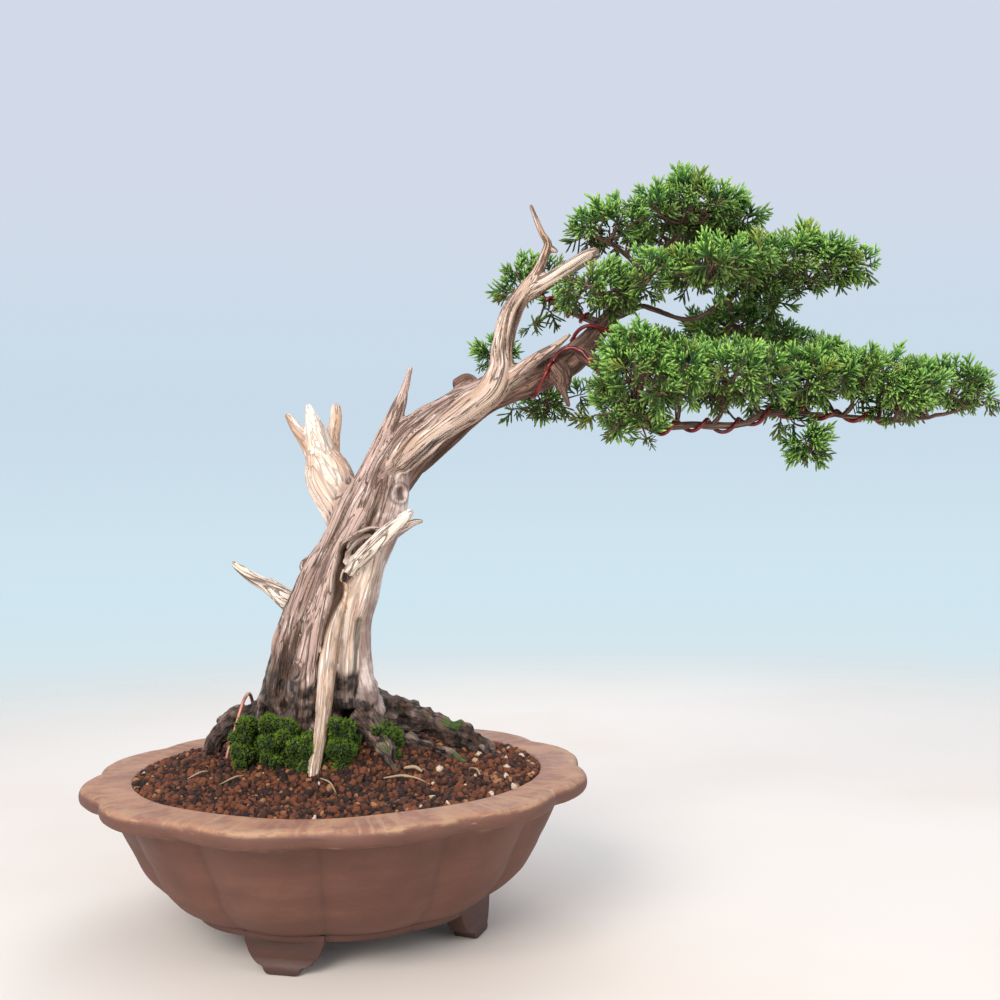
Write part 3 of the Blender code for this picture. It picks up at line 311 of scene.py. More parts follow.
# Rings of old knots: the middle, the ring's radius, how proud it stands and how deep its middle is.
KNOTS = [
    ((-0.0241, -0.034, 0.1647), 0.0058, 0.0014, 0.0034), ((0.0417, -0.014, 0.276), 0.0056, 0.0007, 0.002),
    ((-0.017, -0.035, 0.1985), 0.003, 0.0014, 0.0004), ((0.035, -0.002, 0.195), 0.0018, 0.0018, 0.0),
]

# How far down a pad's clumps go, from 1 at its top to -1 at its underside, where that isn't as usual.
USUAL_UNDERSIDE = -0.78
PAD_UNDERSIDES = {"foliage_hanging": -0.95, "foliage_lower_left": -0.92, "foliage_lower_centre": -0.92}
# How much a pad's sprays lean to the sky, where that isn't as usual.
USUAL_LIFT = 0.16
PAD_LIFTS = {"foliage_hanging": -0.5, "foliage_lower_left": 0.0, "foliage_under_branch": -0.1}
# Pads that hang on a branch which isn't the nearest one.
PAD_HOLDERS = {"foliage_behind_right": "lower_branch", "foliage_hanging": "lower_branch"}
# Which way a pad narrows, and by how much of its width at its far end.
PAD_TAPERS = {
    "foliage_apex": ((-0.15, 0, 1), 0.62), "foliage_apex_right": ((0.8, 0, -0.3), 0.4),
    "foliage_upper_right": ((1, 0, 0.1), 0.62), "foliage_tip": ((1, 0, -0.5), 0.45),
    "foliage_upper_left": ((-1, 0, 0), 0.35), "foliage_hanging": ((0.3, 0, -1), 0.3),
    "foliage_back_upper": ((-0.4, 0, 1), 0.7),
}
# Looser clumps outside a pad's rounded shape, from its middle.
PAD_STRAYS = {name: metres(rows) for name, rows in {
    "foliage_beside_jin": [(20, 0, 10), (29, -4, 2), (17, -6, -18), (8, 0, -28)],
    "foliage_lower_left": [(-26, -10, -22), (-14, -20, -30), (4, -14, -35)],
    "foliage_under_branch": [(-20, 0, -4), (22, -4, 4)],
    "foliage_hanging": [(-9, 0, 14), (-16, 0, 20)],
    "foliage_upper_right": [(38, -10, 0), (20, -20, 6)],
    "foliage_tip": [(22, -16, -8)],
}.items()}
CLUMP_SHARE = 0.95
# Shares of the radius in the tables above, which also serves the solid model and is stout for it.
BRANCH_SHARE = 0.74
ROOT_SHARE = 0.88
LIMB_SHARES = {
    "fork_stem": 1.32, "fork_left": 1.3, "fork_mid": 1.35, "fork_right": 1.2, "left_jin": 1.3,
    "bark_nub": 0.8,
}
GOLDEN_TURN = 2.39996
# Limbs that no groove runs through.
WHOLE_LIMBS = ("cross_jin",)
# Deadwood that no foliage covers from the front.
BARE_LIMBS = ("main_pale", "right_fork", "small_jin", "burr", "burr_peg", "jin_spur")
DEADWOOD_MARGIN = 0.0105

# Dried twigs and leaves on the soil: x and y of both ends, then the radius, in millimetres.
LITTER = metres([
    (34, -60, 54, -56, 0.7), (40, -56, 62, -64, 0.5), (-4, -62, 8, -80, 0.5), (45, -44, 56, -46, 1.2),
    (-78, -34, -88, -44, 0.6), (85, -30, 92, -46, 0.6), (-52, -50, -64, -60, 0.5), (-58, 62, -36, 74, 0.7),
    (52, 58, 68, 80, 0.6), (-20, 90, 0, 98, 0.5),
])
LITTER_LIFT = 0.0026
END_BULGE = 0.6  # of a tube's radius
WIRE_GAP = 0.0002
MOSS_SKIN = 0.0011


# Small tools that every piece uses.

def smooth_route(points, per_span):
    """Rows along a Catmull-Rom curve through the route's rows."""
    rows = [np.array(p, float) for p in points]
    rows = [rows[0] * 2 - rows[1], *rows, rows[-1] * 2 - rows[-2]]
    out = []
    for a, b, c, d in zip(rows, rows[1:], rows[2:], rows[3:]):
        for step in range(per_span):
            t = step / per_span
            bend = (2 * a - 5 * b + 4 * c - d) * t**2 + (3 * b - a - 3 * c + d) * t**3
            out.append((2 * b + (c - a) * t + bend) / 2)
    out.append(rows[-2])
    return np.array(out)


def round_turns(count):
    """Angles that part a full turn evenly."""
    return np.arange(count) * 2 * math.pi / count


def ring_of(radius, height, turns):
    """Points round the pot's axis, all at one height."""
    return np.stack([radius * np.cos(turns), radius * np.sin(turns), np.full(len(turns), height)], axis=1)


def band_faces(rows, around, flipped=False):
    """Four-sided faces between rings of points that follow each other."""
    faces = []
    for low in range(0, (rows - 1) * around, around):
        for k in range(around):
            n = (k + 1) % around
            face = (low + k, low + n, low + around + n, low + around + k)
            faces.append((face[0], *face[:0:-1]) if flipped else face)
    return faces


def frames(centres):
    """The direction along a line at each point, with a side and an up that don't twist."""
    ahead = np.gradient(centres, axis=0)
    ahead /= np.linalg.norm(ahead, axis=1)[:, None]
    side = np.cross(ahead[0], (0.3, 1.0, 0.2))
    sides = []
    for direction in ahead:
        side = side - direction * side.dot(direction)
        side = side / np.linalg.norm(side)
        sides.append(side)
    sides = np.array(sides)
    return ahead, sides, np.cross(ahead, sides)


def tube(centres, radii, around):
    """Points and faces of a closed tube with rounded ends."""
    centres = np.asarray(centres, float)
    radii = np.asarray(radii, float)
    ahead, sides, ups = frames(centres)
    turn = round_turns(around)
    rings = centres[:, None] + radii[:, None, None] * (
        sides[:, None] * np.cos(turn)[None, :, None] + ups[:, None] * np.sin(turn)[None, :, None]
    )
    first = centres[0] - ahead[0] * radii[0] * END_BULGE
    last = centres[-1] + ahead[-1] * radii[-1] * END_BULGE
    points = np.vstack([rings.reshape(-1, 3), first, last])
    count = len(centres)
    faces = band_faces(count, around)
    for k in range(around):
        n = (k + 1) % around
        faces.append((count * around, n, k))
        faces.append((count * around + 1, (count - 1) * around + k, (count - 1) * around + n))
    return points, faces


def joined(parts):
    """Several (points, faces) as one."""
    points, faces, start = [], [], 0
    for some, few in parts:
        points.append(some)
        faces += [tuple(start + i for i in face) for face in few]
        start += len(some)
    return np.vstack(points), faces


def add_piece(name, points, faces, finish=None, collection=None):
    """An object with its place in its mesh and every face smooth."""
    mesh = bpy.data.meshes.new(name)
    mesh.from_pydata([tuple(p) for p in points], [], faces)
    mesh.validate()
    mesh.shade_smooth()
    obj = bpy.data.objects.new(name, mesh)
    (collection or bpy.context.scene.collection).objects.link(obj)
    if finish:
        mesh.materials.append(finish)
    return obj


def store(obj, name, values, kind="FLOAT", domain="POINT"):
    """Writes a value for each point or face corner to the piece's mesh."""
    made = obj.data.attributes.new(name, kind, domain)
    label = "vector" if kind == "FLOAT_VECTOR" else "value"
    made.data.foreach_set(label, np.asarray(values, np.float32).ravel())


def store_all(obj, **values):
    """Writes the same value to every point, for each name."""
    for name, value in values.items():
        store(obj, name, np.full(len(obj.data.vertices), value))


def points_of(obj, what="co"):
    """Each point's place, or its normal."""
    out = np.empty(len(obj.data.vertices) * 3, np.float32)
    obj.data.vertices.foreach_get(what, out)
    return out.reshape(-1, 3).astype(float)


def move_points(obj, points):
    obj.data.vertices.foreach_set("co", np.asarray(points, np.float32).ravel())
    obj.data.update()


def applied(obj):
    """The object with its modifiers made part of its mesh."""
    bpy.context.view_layer.update()
    graph = bpy.context.evaluated_depsgraph_get()
    mesh = bpy.data.meshes.new_from_object(obj.evaluated_get(graph), depsgraph=graph)
    obj.modifiers.clear()
    obj.data = mesh
    mesh.name = obj.name
    mesh.shade_smooth()
    return obj


def fused(obj, voxel):
    """The object's overlapping parts as one skin of small faces."""
    fuse = obj.modifiers.new("fuse", "REMESH")
    fuse.mode = "VOXEL"
    fuse.voxel_size = voxel
    return applied(obj)


def taken(bm):
    """The points and faces of a bmesh, which is then freed."""
    bm.verts.index_update()
    points = np.array([v.co for v in bm.verts])
    faces = [tuple(v.index for v in face.verts) for face in bm.faces]
    bm.free()
    return points, faces


def ball(subdivisions):
    bm = bmesh.new()
    bmesh.ops.create_icosphere(bm, subdivisions=subdivisions, radius=1)
    return taken(bm)


def discard(objects):
    for obj in list(objects):
        bpy.data.objects.remove(obj, do_unlink=True)


def ride(obj, slot, *nodes):
    """Fixes a finished piece to the model and hides the nodes it stands for; the finish's slot is not used.
    """
    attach(obj, BODY)
    if nodes:
        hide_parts(*nodes)


def noise3(points, seed):
    """Smooth noise from -1 to 1 at each point, one bump to a unit."""
    points = np.asarray(points, float)
    cell = np.floor(points).astype(np.int64)
    part = points - cell
    fade = part**3 * (part * (part * 6 - 15) + 10)
    total = np.zeros(len(points))
    for corner in range(8):
        step = np.array([corner & 1, corner >> 1 & 1, corner >> 2 & 1])
        spot = cell + step
        mixed = spot[:, 0] * 73856093 ^ spot[:, 1] * 19349663 ^ spot[:, 2] * 83492791 ^ seed * 40503
        mixed = (mixed ^ mixed >> 13) * 1274126177 & 0x7FFFFFFF
        value = (mixed >> 8 & 0xFFFF) / 32767.5 - 1
        total += np.prod(np.where(step == 1, fade, 1 - fade), axis=1) * value
    return total


def blend_step(value, low, high):
    """0 at low, 1 at high and smooth between."""
    t = np.clip((value - low) / (high - low), 0, 1)
    return t * t * (3 - 2 * t)


def lengths(rows):
    return np.linalg.norm(rows, axis=1)


def to_line(points, line):
    """How far each point is from a line of rows."""
    best = np.full(len(points), np.inf)
    line = np.asarray(line, float)
    for a, b in zip(line, line[1:]):
        along = np.clip((points - a) @ (b - a) / ((b - a) @ (b - a)), 0, 1)
        best = np.minimum(best, lengths(points - a - along[:, None] * (b - a)))
    return best


# Finishes. A group holds each effect that several finishes share.

def add(tree, kind, inputs=(), **settings):
    """A node with its settings. Each input is a value or another node's output."""
    made = tree.nodes.new(kind)
    for key, value in settings.items():
        setattr(made, key, value)
    for key, value in dict(inputs).items():
        socket = made.inputs[key]
        if isinstance(value, bpy.types.NodeSocket):
            tree.links.new(value, socket)
        else:
            socket.default_value = value
    return made


def colour_of(rgb):
    """A node colour from a display colour of three numbers from 0 to 1."""
    return (*[c / 12.92 if c <= 0.04045 else ((c + 0.055) / 1.055) ** 2.4 for c in rgb], 1.0)


def mix(tree, factor, a, b, mode="MIX"):
    a = a if isinstance(a, bpy.types.NodeSocket) else colour_of(a)
    b = b if isinstance(b, bpy.types.NodeSocket) else colour_of(b)
    return add(tree, "ShaderNodeMix", {0: factor, 6: a, 7: b}, data_type="RGBA", blend_type=mode).outputs[2]


def span(tree, value, low, high, to_low=0.0, to_high=1.0):
    """The value carried from one range to another, smoothly and no further."""
    inputs = {0: value, 1: low, 2: high, 3: to_low, 4: to_high}
    return add(tree, "ShaderNodeMapRange", inputs, interpolation_type="SMOOTHSTEP").outputs[0]


def maths(tree, operation, a, b=0.0):
    return add(tree, "ShaderNodeMath", {0: a, 1: b}, operation=operation, use_clamp=False).outputs[0]


def times(tree, a, b):
    return maths(tree, "MULTIPLY", a, b)


def stored(tree, name, output="Fac"):
    """What a piece's mesh holds under a name."""
    return add(tree, "ShaderNodeAttribute", attribute_name=name).outputs[output]


def noise(tree, vector, scale, detail=2.0, roughness=0.5, distortion=0.0):
    inputs = {"Vector": vector, "Scale": scale, "Detail": detail, "Roughness": roughness}
    inputs["Distortion"] = distortion
    return add(tree, "ShaderNodeTexNoise", inputs).outputs[0]


def speckle(tree, vector, scale, detail=3.0, roughness=0.6, stretch=(1, 1, 1)):
    """Noise from 0 to 1, finer along an axis that is stretched by more."""
    placed = add(tree, "ShaderNodeMapping", {0: vector, 3: stretch}).outputs[0]
    return noise(tree, placed, scale, detail, roughness)


def group(name, inputs, outputs):
    """An empty shader group with its sockets: (label, kind, default) each."""
    tree = bpy.data.node_groups.new(name, "ShaderNodeTree")
    for label, kind, default in inputs:
        socket = tree.interface.new_socket(name=label, in_out="INPUT", socket_type=kind)
        if default is not None:
            socket.default_value = default
    for label, kind in outputs:
        tree.interface.new_socket(name=label, in_out="OUTPUT", socket_type=kind)
    return tree, tree.nodes.new("NodeGroupInput").outputs, tree.nodes.new("NodeGroupOutput").inputs


def place_group(tree, name, inputs):
    return add(tree, "ShaderNodeGroup", inputs, node_tree=bpy.data.node_groups[name]).outputs


def build_groups():
    """The shared effects: wood grain, and dust and grit."""
    if "wood_grain" in bpy.data.node_groups:
        return
    vector = ("Vector", "NodeSocketVector", None)
    number = "NodeSocketFloat"
    tree, given, out = group(
        "wood_grain", [vector, ("Width", number, 400.0), ("Length", number, 30.0)],
        [("Streak", number), ("Fibre", number), ("Crack", number)],
    )
    inputs = {0: given["Width"], 1: given["Width"], 2: given["Length"]}
    wide = add(tree, "ShaderNodeCombineXYZ", inputs).outputs[0]
    drawn = add(tree, "ShaderNodeVectorMath", {0: given["Vector"], 1: wide}, operation="MULTIPLY").outputs[0]
    split = noise(tree, drawn, 0.55, 2.0, 0.5, 0.6)
    line = maths(tree, "ABSOLUTE", maths(tree, "SUBTRACT", split, 0.5))
    tree.links.new(span(tree, noise(tree, drawn, 0.22), 0.35, 0.65), out["Streak"])
    tree.links.new(noise(tree, drawn, 1.0, 4.0, 0.65, 0.3), out["Fibre"])
    tree.links.new(span(tree, line, 0.028, 0.004), out["Crack"])

    tree, given, out = group(
        "dust_and_grit", [vector, ("Scale", number, 900.0), ("Share", number, 0.3)],
        [("Specks", number), ("Patches", number)],
    )
    specks = noise(tree, given["Vector"], given["Scale"], 1.0)
    patches = noise(tree, given["Vector"], 28.0, 5.0, 0.65)
    floor = maths(tree, "SUBTRACT", 0.86, times(tree, given["Share"], 0.3))
    tree.links.new(span(tree, specks, floor, maths(tree, "ADD", floor, 0.04)), out["Specks"])
    tree.links.new(span(tree, patches, 0.42, 0.68), out["Patches"])


def new_finish(name, roughness=0.8):
    build_groups()
    made = bpy.data.materials.new(name)
    made.use_nodes = True
    tree = made.node_tree
    shader = tree.nodes["Principled BSDF"]
    shader.inputs["Roughness"].default_value = roughness
    return made, tree, shader


def own_place(tree):
    return add(tree, "ShaderNodeTexCoord").outputs["Object"]


def painted(tree, shader, colour, roughness):
    """Sets the shader's colour and roughness."""
    tree.links.new(colour, shader.inputs["Base Color"])
    tree.links.new(roughness, shader.inputs["Roughness"])


def raised(tree, shader, height, depth, strength=1.0):
    """Sets the shader's normal from a height, with its full depth in metres."""
    bump = add(tree, "ShaderNodeBump", {"Height": height, "Distance": depth, "Strength": strength})
    tree.links.new(bump.outputs[0], shader.inputs["Normal"])


def clay_finish(settings):
    """Matt brown clay with a dusty, worn rim, and painted shade in the groove, the lobe creases and on the
    feet.
    """
    made, tree, shader = new_finish("fired_clay", 0.66)
    where = own_place(tree)
    rim = stored(tree, "rim")
    worn = stored(tree, "worn")
    grit = place_group(tree, "dust_and_grit", {"Vector": where, "Scale": 1100.0, "Share": 0.35})
    smears = speckle(tree, where, 9.0, 4.0, 0.6, (1, 1, 7))
    runs = speckle(tree, where, 34.0, 3.0, 0.6, (1, 1, 0.14))
    base = mix(tree, span(tree, smears, 0.35, 0.7), settings.body, settings.body_light)
    base = mix(tree, span(tree, runs, 0.55, 0.8, 0.0, 0.3), base, settings.body_light)
    base = mix(tree, times(tree, grit["Patches"], 0.35), base, settings.body_dark)
    stains = speckle(tree, where, 42.0, 6.0, 0.75, (1, 1, 3))
    dusty = mix(tree, span(tree, stains, 0.38, 0.6), settings.rim, settings.rim_tan)
    spokes = speckle(tree, stored(tree, "spokes", "Vector"), 260.0, 3.0, 0.6)
    dusty = mix(tree, span(tree, spokes, 0.5, 0.66, 0.0, 0.62), dusty, settings.wear)
    base = mix(tree, rim, base, dusty)
    rubbed = speckle(tree, where, 55.0, 5.0, 0.7, (1, 1, 4))
    base = mix(tree, times(tree, worn, span(tree, rubbed, 0.5, 0.63)), base, settings.wear)
    # Painted shade: darker in the groove, the lobe creases and on the feet.
    base = mix(tree, times(tree, stored(tree, "soot"), 0.75), base, settings.soot)
    base = mix(tree, times(tree, grit["Specks"], 0.5), base, settings.specks)
    painted(tree, shader, base, span(tree, smears, 0.3, 0.7, 0.56, 0.78))
    fine = speckle(tree, where, 700.0, 3.0, 0.6)
    broad = speckle(tree, where, 60.0, 3.0, 0.5, (1, 1, 3))
    raised(tree, shader, maths(tree, "ADD", times(tree, fine, 0.25), broad), 0.0007, 0.6)
    return made


def wood_finish(settings):
    """Weathered wood: bark, bleached wood, live bark and wet roots by the masks on the piece, with painted
    shade in the hollows and pits and painted light on the roots' upward ridges.
    """
    made, tree, shader = new_finish("weathered_wood", 0.82)
    line = stored(tree, "straight", "Vector")
    where = own_place(tree)
    pale, brown, smooth, wet, hollow, green = [
        stored(tree, name) for name in ("pale", "brown", "smooth", "wet", "hollow", "green")
    ]
    grain = place_group(tree, "wood_grain", {"Vector": line, "Width": 620.0, "Length": 34.0})
    broad = place_group(tree, "wood_grain", {"Vector": line, "Width": 190.0, "Length": 14.0})
    patch = speckle(tree, where, 55.0, 4.0, 0.6)
    bark = mix(tree, broad["Streak"], settings.bark_shadow, settings.bark)
    bark = mix(tree, span(tree, grain["Fibre"], 0.52, 0.72), bark, settings.bark_light)
    column = mix(tree, span(tree, patch, 0.4, 0.62), settings.column, settings.bark_light)
    bark = mix(tree, smooth, bark, column)
    bleached = mix(tree, broad["Streak"], settings.cream, settings.cream_shadow)
    bleached = mix(tree, span(tree, grain["Fibre"], 0.5, 0.75), bleached, settings.cream_light)
    bleached = mix(tree, span(tree, patch, 0.5, 0.72, 0.0, 0.6), bleached, settings.pink)
    live = mix(tree, span(tree, grain["Fibre"], 0.36, 0.64), settings.live_shadow, settings.live)
    crust = speckle(tree, where, 240.0, 6.0, 0.7, (1, 1, 0.5))
    dark = mix(tree, span(tree, crust, 0.44, 0.62), settings.wet, settings.wet_light)
    base = mix(tree, pale, bark, bleached)
    base = mix(tree, brown, base, live)
    cracks = maths(tree, "MAXIMUM", grain["Crack"], broad["Crack"])
    cracks = times(tree, cracks, span(tree, smooth, 0.0, 0.6, 1.0, 0.5))
    base = mix(tree, times(tree, cracks, 0.85), base, settings.crack)
    # Painted shade in the hollows, the grooves and round the knots.
    base = mix(tree, hollow, base, settings.hollow)
    # Wet dark wood at the foot, with painted light on upward ridges and painted shade in the pits.
    base = mix(tree, wet, base, dark)
    base = mix(tree, green, base, settings.green)
    painted(tree, shader, base, span(tree, wet, 0.0, 1.0, 0.84, 0.5))
    height = maths(tree, "SUBTRACT", grain["Fibre"], times(tree, cracks, 0.7))
    height = maths(tree, "ADD", height, times(tree, crust, times(tree, wet, 1.6)))
    raised(tree, shader, height, 0.0012, 0.95)
    return made


def leaf_finish(settings):
    """Scale leaves, bright at the tips, and darker and browner inside a pad and on the clumps' undersides:
    browner foliage with painted shade.
    """
    made, tree, shader = new_finish("juniper_leaf", 0.52)
    tip, shade, inner = [stored(tree, name) for name in ("tip", "shade", "inner")]
    where = own_place(tree)
    base = mix(tree, span(tree, tip, 0.1, 0.8), settings.leaf_base, settings.leaf)
    base = mix(tree, span(tree, tip, 0.6, 1.0), base, settings.leaf_tip)
    base = mix(tree, span(tree, shade, 0.0, 1.0, 0.0, 0.45), base, settings.leaf_cool)
    base = mix(tree, span(tree, shade, 0.9, 1.0, 0.0, 0.55), base, settings.leaf_yellow)
    # Browner foliage and painted shade on the clumps' undersides.
    brown = times(tree, inner, span(tree, shade, 0.1, 0.9, 0.35, 1.0))
    base = mix(tree, brown, base, settings.leaf_inner_and_shade)
    scales = add(tree, "ShaderNodeTexVoronoi", {"Vector": where, "Scale": 900.0}).outputs[0]
    base = mix(tree, span(tree, scales, 0.35, 0.7, 0.0, 0.35), base, settings.leaf_base)
    painted(tree, shader, base, span(tree, scales, 0.0, 0.8, 0.46, 0.62))
    raised(tree, shader, scales, 0.0004, 0.5)
    return made


def grain_finish(name, low, high, rare, roughness):
    """Loose grains, each with a shade of its own."""
    made, tree, shader = new_finish(name, roughness)
    shade = stored(tree, "shade")
    where = own_place(tree)
    pores = speckle(tree, where, 900.0, 4.0, 0.7)
    base = mix(tree, span(tree, shade, 0.0, 0.85), low, high)
    base = mix(tree, span(tree, shade, 0.93, 0.98), base, rare)
    base = mix(tree, span(tree, pores, 0.42, 0.62, 0.35, 0.0), base, low)
    painted(tree, shader, base, span(tree, pores, 0.3, 0.7, roughness - 0.1, roughness + 0.05))
    raised(tree, shader, pores, 0.0006, 0.8)
    return made


def metal_finish(name, colour, dull, metallic, roughness, coat):
    """Drawn wire with dull patches and fine lines along it."""
    made, tree, shader = new_finish(name, roughness)
    where = own_place(tree)
    patch = speckle(tree, where, 130.0, 4.0, 0.6)
    fine = speckle(tree, where, 1500.0, 2.0, 0.5)
    base = mix(tree, span(tree, patch, 0.42, 0.66), colour, dull)
    painted(tree, shader, base, span(tree, patch, 0.35, 0.7, roughness, roughness + 0.22))
    tree.links.new(span(tree, patch, 0.4, 0.7, metallic, metallic * 0.7), shader.inputs["Metallic"])
    shader.inputs["Coat Weight"].default_value = coat
    raised(tree, shader, fine, 0.0002, 0.4)
    return made


def plastic_finish():
    """Black plastic that has greyed in clouds."""
    made, tree, shader = new_finish("black_mesh", 0.5)
    where = own_place(tree)
    cloud = speckle(tree, where, 160.0, 4.0, 0.6)
    base = mix(tree, span(tree, cloud, 0.4, 0.7), (0.1, 0.1, 0.11), (0.2, 0.18, 0.17))
    painted(tree, shader, base, span(tree, cloud, 0.3, 0.7, 0.42, 0.7))
    raised(tree, shader, speckle(tree, where, 1200.0), 0.0002, 0.4)
    return made


# Shapes that are repeated, and the node tree that stands them on a surface.

def random_value(tree, low, high, seed):
    """A number of its own for each shape."""
    inputs = {2: low, 3: high, 8: seed}
    return add(tree, "FunctionNodeRandomValue", inputs, data_type="FLOAT").outputs[1]


def build_scatter():
    """A node tree that stands shapes on a mesh, each with a turn, a size and a shade of its own."""
    found = bpy.data.node_groups.get("scatter_shapes")
    if found:
        return found
    tree = bpy.data.node_groups.new("scatter_shapes", "GeometryNodeTree")
    sockets = {
        "Geometry": "Geometry", "Shapes": "Collection", "Spacing": "Float", "Smallest": "Float",
        "Largest": "Float", "Tilt": "Float", "Lift": "Float", "Seed": "Int", "Finish": "Material",
    }
    for label, kind in sockets.items():
        tree.interface.new_socket(name=label, in_out="INPUT", socket_type="NodeSocket" + kind)
    tree.interface.new_socket(name="Geometry", in_out="OUTPUT", socket_type="NodeSocketGeometry")
    given = tree.nodes.new("NodeGroupInput").outputs
    out = tree.nodes.new("NodeGroupOutput")
    spacing, tilt, seed = given["Spacing"], given["Tilt"], given["Seed"]
    crowd = maths(tree, "DIVIDE", 5.0, times(tree, spacing, spacing))
    inputs = {"Mesh": given["Geometry"], "Distance Min": spacing, "Density Max": crowd, "Seed": seed}
    spread = add(tree, "GeometryNodeDistributePointsOnFaces", inputs, distribute_method="POISSON")
    inputs = {0: given["Lift"], 4: spread.outputs["Normal"], 5: (0, 0, 1)}
    lean = add(tree, "ShaderNodeMix", inputs, data_type="VECTOR", clamp_factor=False).outputs[1]
    stand = add(tree, "FunctionNodeAlignRotationToVector", {"Vector": lean}, axis="Z").outputs[0]
    back = times(tree, tilt, -1.0)
    low = add(tree, "ShaderNodeCombineXYZ", {0: back, 1: back, 2: -math.pi}).outputs[0]
    high = add(tree, "ShaderNodeCombineXYZ", {0: tilt, 1: tilt, 2: math.pi}).outputs[0]
    inputs = {0: low, 1: high, 8: seed}
    turn = add(tree, "FunctionNodeRandomValue", inputs, data_type="FLOAT_VECTOR").outputs[0]
    turn = add(tree, "FunctionNodeEulerToRotation", {0: turn}).outputs[0]
    turned = add(tree, "FunctionNodeRotateRotation", {0: stand, 1: turn}, rotation_space="LOCAL").outputs[0]
    size = random_value(tree, given["Smallest"], given["Largest"], maths(tree, "ADD", seed, 7.0))
    inputs = {"Collection": given["Shapes"], "Separate Children": True, "Reset Children": True}
    shapes = add(tree, "GeometryNodeCollectionInfo", inputs)
    stood = add(tree, "GeometryNodeInstanceOnPoints", {
        "Points": spread.outputs["Points"], "Instance": shapes.outputs[0], "Pick Instance": True,
        "Rotation": turned, "Scale": size,
    })
    shade = random_value(tree, 0.0, 1.0, maths(tree, "ADD", seed, 13.0))
    inputs = {"Geometry": stood.outputs[0], "Name": "shade", "Value": shade}
    kept = add(tree, "GeometryNodeStoreNamedAttribute", inputs, data_type="FLOAT", domain="INSTANCE")
    real = add(tree, "GeometryNodeRealizeInstances", {0: kept.outputs[0]})
    dressed = add(tree, "GeometryNodeSetMaterial", {0: real.outputs[0], 2: given["Finish"]})
    tree.links.new(dressed.outputs[0], out.inputs[0])
    return tree


def scatter(name, ground, shapes, finish, spacing, smallest, largest, tilt, lift, seed):
    """A new piece: the shapes stood on the ground, which is then removed."""
    tree = build_scatter()
    modifier = ground.modifiers.new("scatter", "NODES")
    modifier.node_group = tree
    values = {
        "Shapes": shapes, "Spacing": spacing, "Smallest": smallest, "Largest": largest, "Tilt": tilt,
        "Lift": lift, "Seed": seed, "Finish": finish,
    }
    for item in tree.interface.items_tree:
        if item.in_out == "INPUT" and item.name in values:
            modifier[item.identifier] = values[item.name]
    bpy.context.view_layer.update()
    graph = bpy.context.evaluated_depsgraph_get()
    mesh = bpy.data.meshes.new_from_object(ground.evaluated_get(graph), depsgraph=graph)
    ground.modifiers.clear()
    discard([ground])
    mesh.name = name
    mesh.shade_smooth()
    obj = bpy.data.objects.new(name, mesh)
    bpy.context.scene.collection.objects.link(obj)
    if not mesh.polygons:
        raise RuntimeError(f"{name} came out empty")
    return obj


def shape_set(name, builders):
    """A collection of shapes to repeat, from (points, faces, tips) each. It isn't part of the scene."""
    made = bpy.data.collections.new(name)
    for number, (points, faces, tips) in enumerate(builders):
        obj = add_piece(f"{name}_{number + 1}", points, faces, collection=made)
        store(obj, "tip", tips)
    return made


def clear_set(made):
    discard(made.objects)
    bpy.data.collections.remove(made)


def shoot(start, direction, length, radius, bend, low_tip, high_tip):
    """One pointed shoot with three sides: points, faces and how near the tip each point is."""
    direction = direction.normalized()
    side = direction.orthogonal().normalized()
    other = direction.cross(side)
    points, tips = [], []
    for share, width in ((0.0, 0.75), (0.8, 1.0)):
        centre = start + direction * length * share + bend * share * share
        for k in range(3):
            turn = 2 * math.pi * k / 3 + share
            points.append(centre + (side * math.cos(turn) + other * math.sin(turn)) * radius * width)
            tips.append(low_tip + (high_tip - low_tip) * share)
    points.append(start + direction * length + bend)
    tips.append(high_tip)
    faces = [(k, (k + 1) % 3, 3 + (k + 1) % 3, 3 + k) for k in range(3)]
    faces += [(3 + k, 3 + (k + 1) % 3, 6) for k in range(3)]
    return np.array(points), faces, tips


def spray(seed, length, radius, branches):
    """A spray of juniper: a leader with side shoots that fan out and up from it."""
    rng = random.Random(seed)
    parts, tips = [], []

    def take(made):
        parts.append(made[:2])
        tips.extend(made[2])

    bend = Vector((rng.uniform(-1, 1), rng.uniform(-1, 1), 0)) * length * 0.12
    take(shoot(Vector((0, 0, 0)), Vector((0, 0, 1)), length, radius, bend, 0.0, 1.0))
    turn = rng.uniform(0, 2 * math.pi)
    for k in range(branches):
        share = 0.12 + 0.62 * k / branches + rng.uniform(-0.03, 0.03)
        turn += math.pi * (0.78 + rng.uniform(-0.2, 0.2))
        out = Vector((math.cos(turn), math.sin(turn), 0))
        start = Vector((0, 0, length * share)) + bend * share * share
        lean = rng.uniform(0.62, 1.05)
        reach = length * (0.62 - 0.34 * share) * rng.uniform(0.8, 1.2)
        direction = out * math.sin(lean) + Vector((0, 0, math.cos(lean)))
        curl = Vector((0, 0, reach * 0.22))
        take(shoot(start, direction, reach, radius * 0.92, curl, share * 0.6, 1.0))
    points, faces = joined(parts)
    return points, faces, tips


def pebble(seed, squash):
    """An angular grain: the hull of a few points on a squashed ball."""
    rng = random.Random(seed)
    bm = bmesh.new()
    for _ in range(15):
        spot = Vector([rng.gauss(0, 1) for _ in range(3)]).normalized() * rng.uniform(0.86, 1.08)
        bm.verts.new(Vector((spot.x, spot.y * rng.uniform(0.8, 1), spot.z * squash)))
    hull = bmesh.ops.convex_hull(bm, input=bm.verts)
    spare = {g for g in hull["geom_interior"] + hull["geom_unused"] if isinstance(g, bmesh.types.BMVert)}
    bmesh.ops.delete(bm, geom=list(spare), context="VERTS")
    bmesh.ops.recalc_face_normals(bm, faces=bm.faces)
    points, faces = taken(bm)
    return points, faces, [1.0] * len(points)


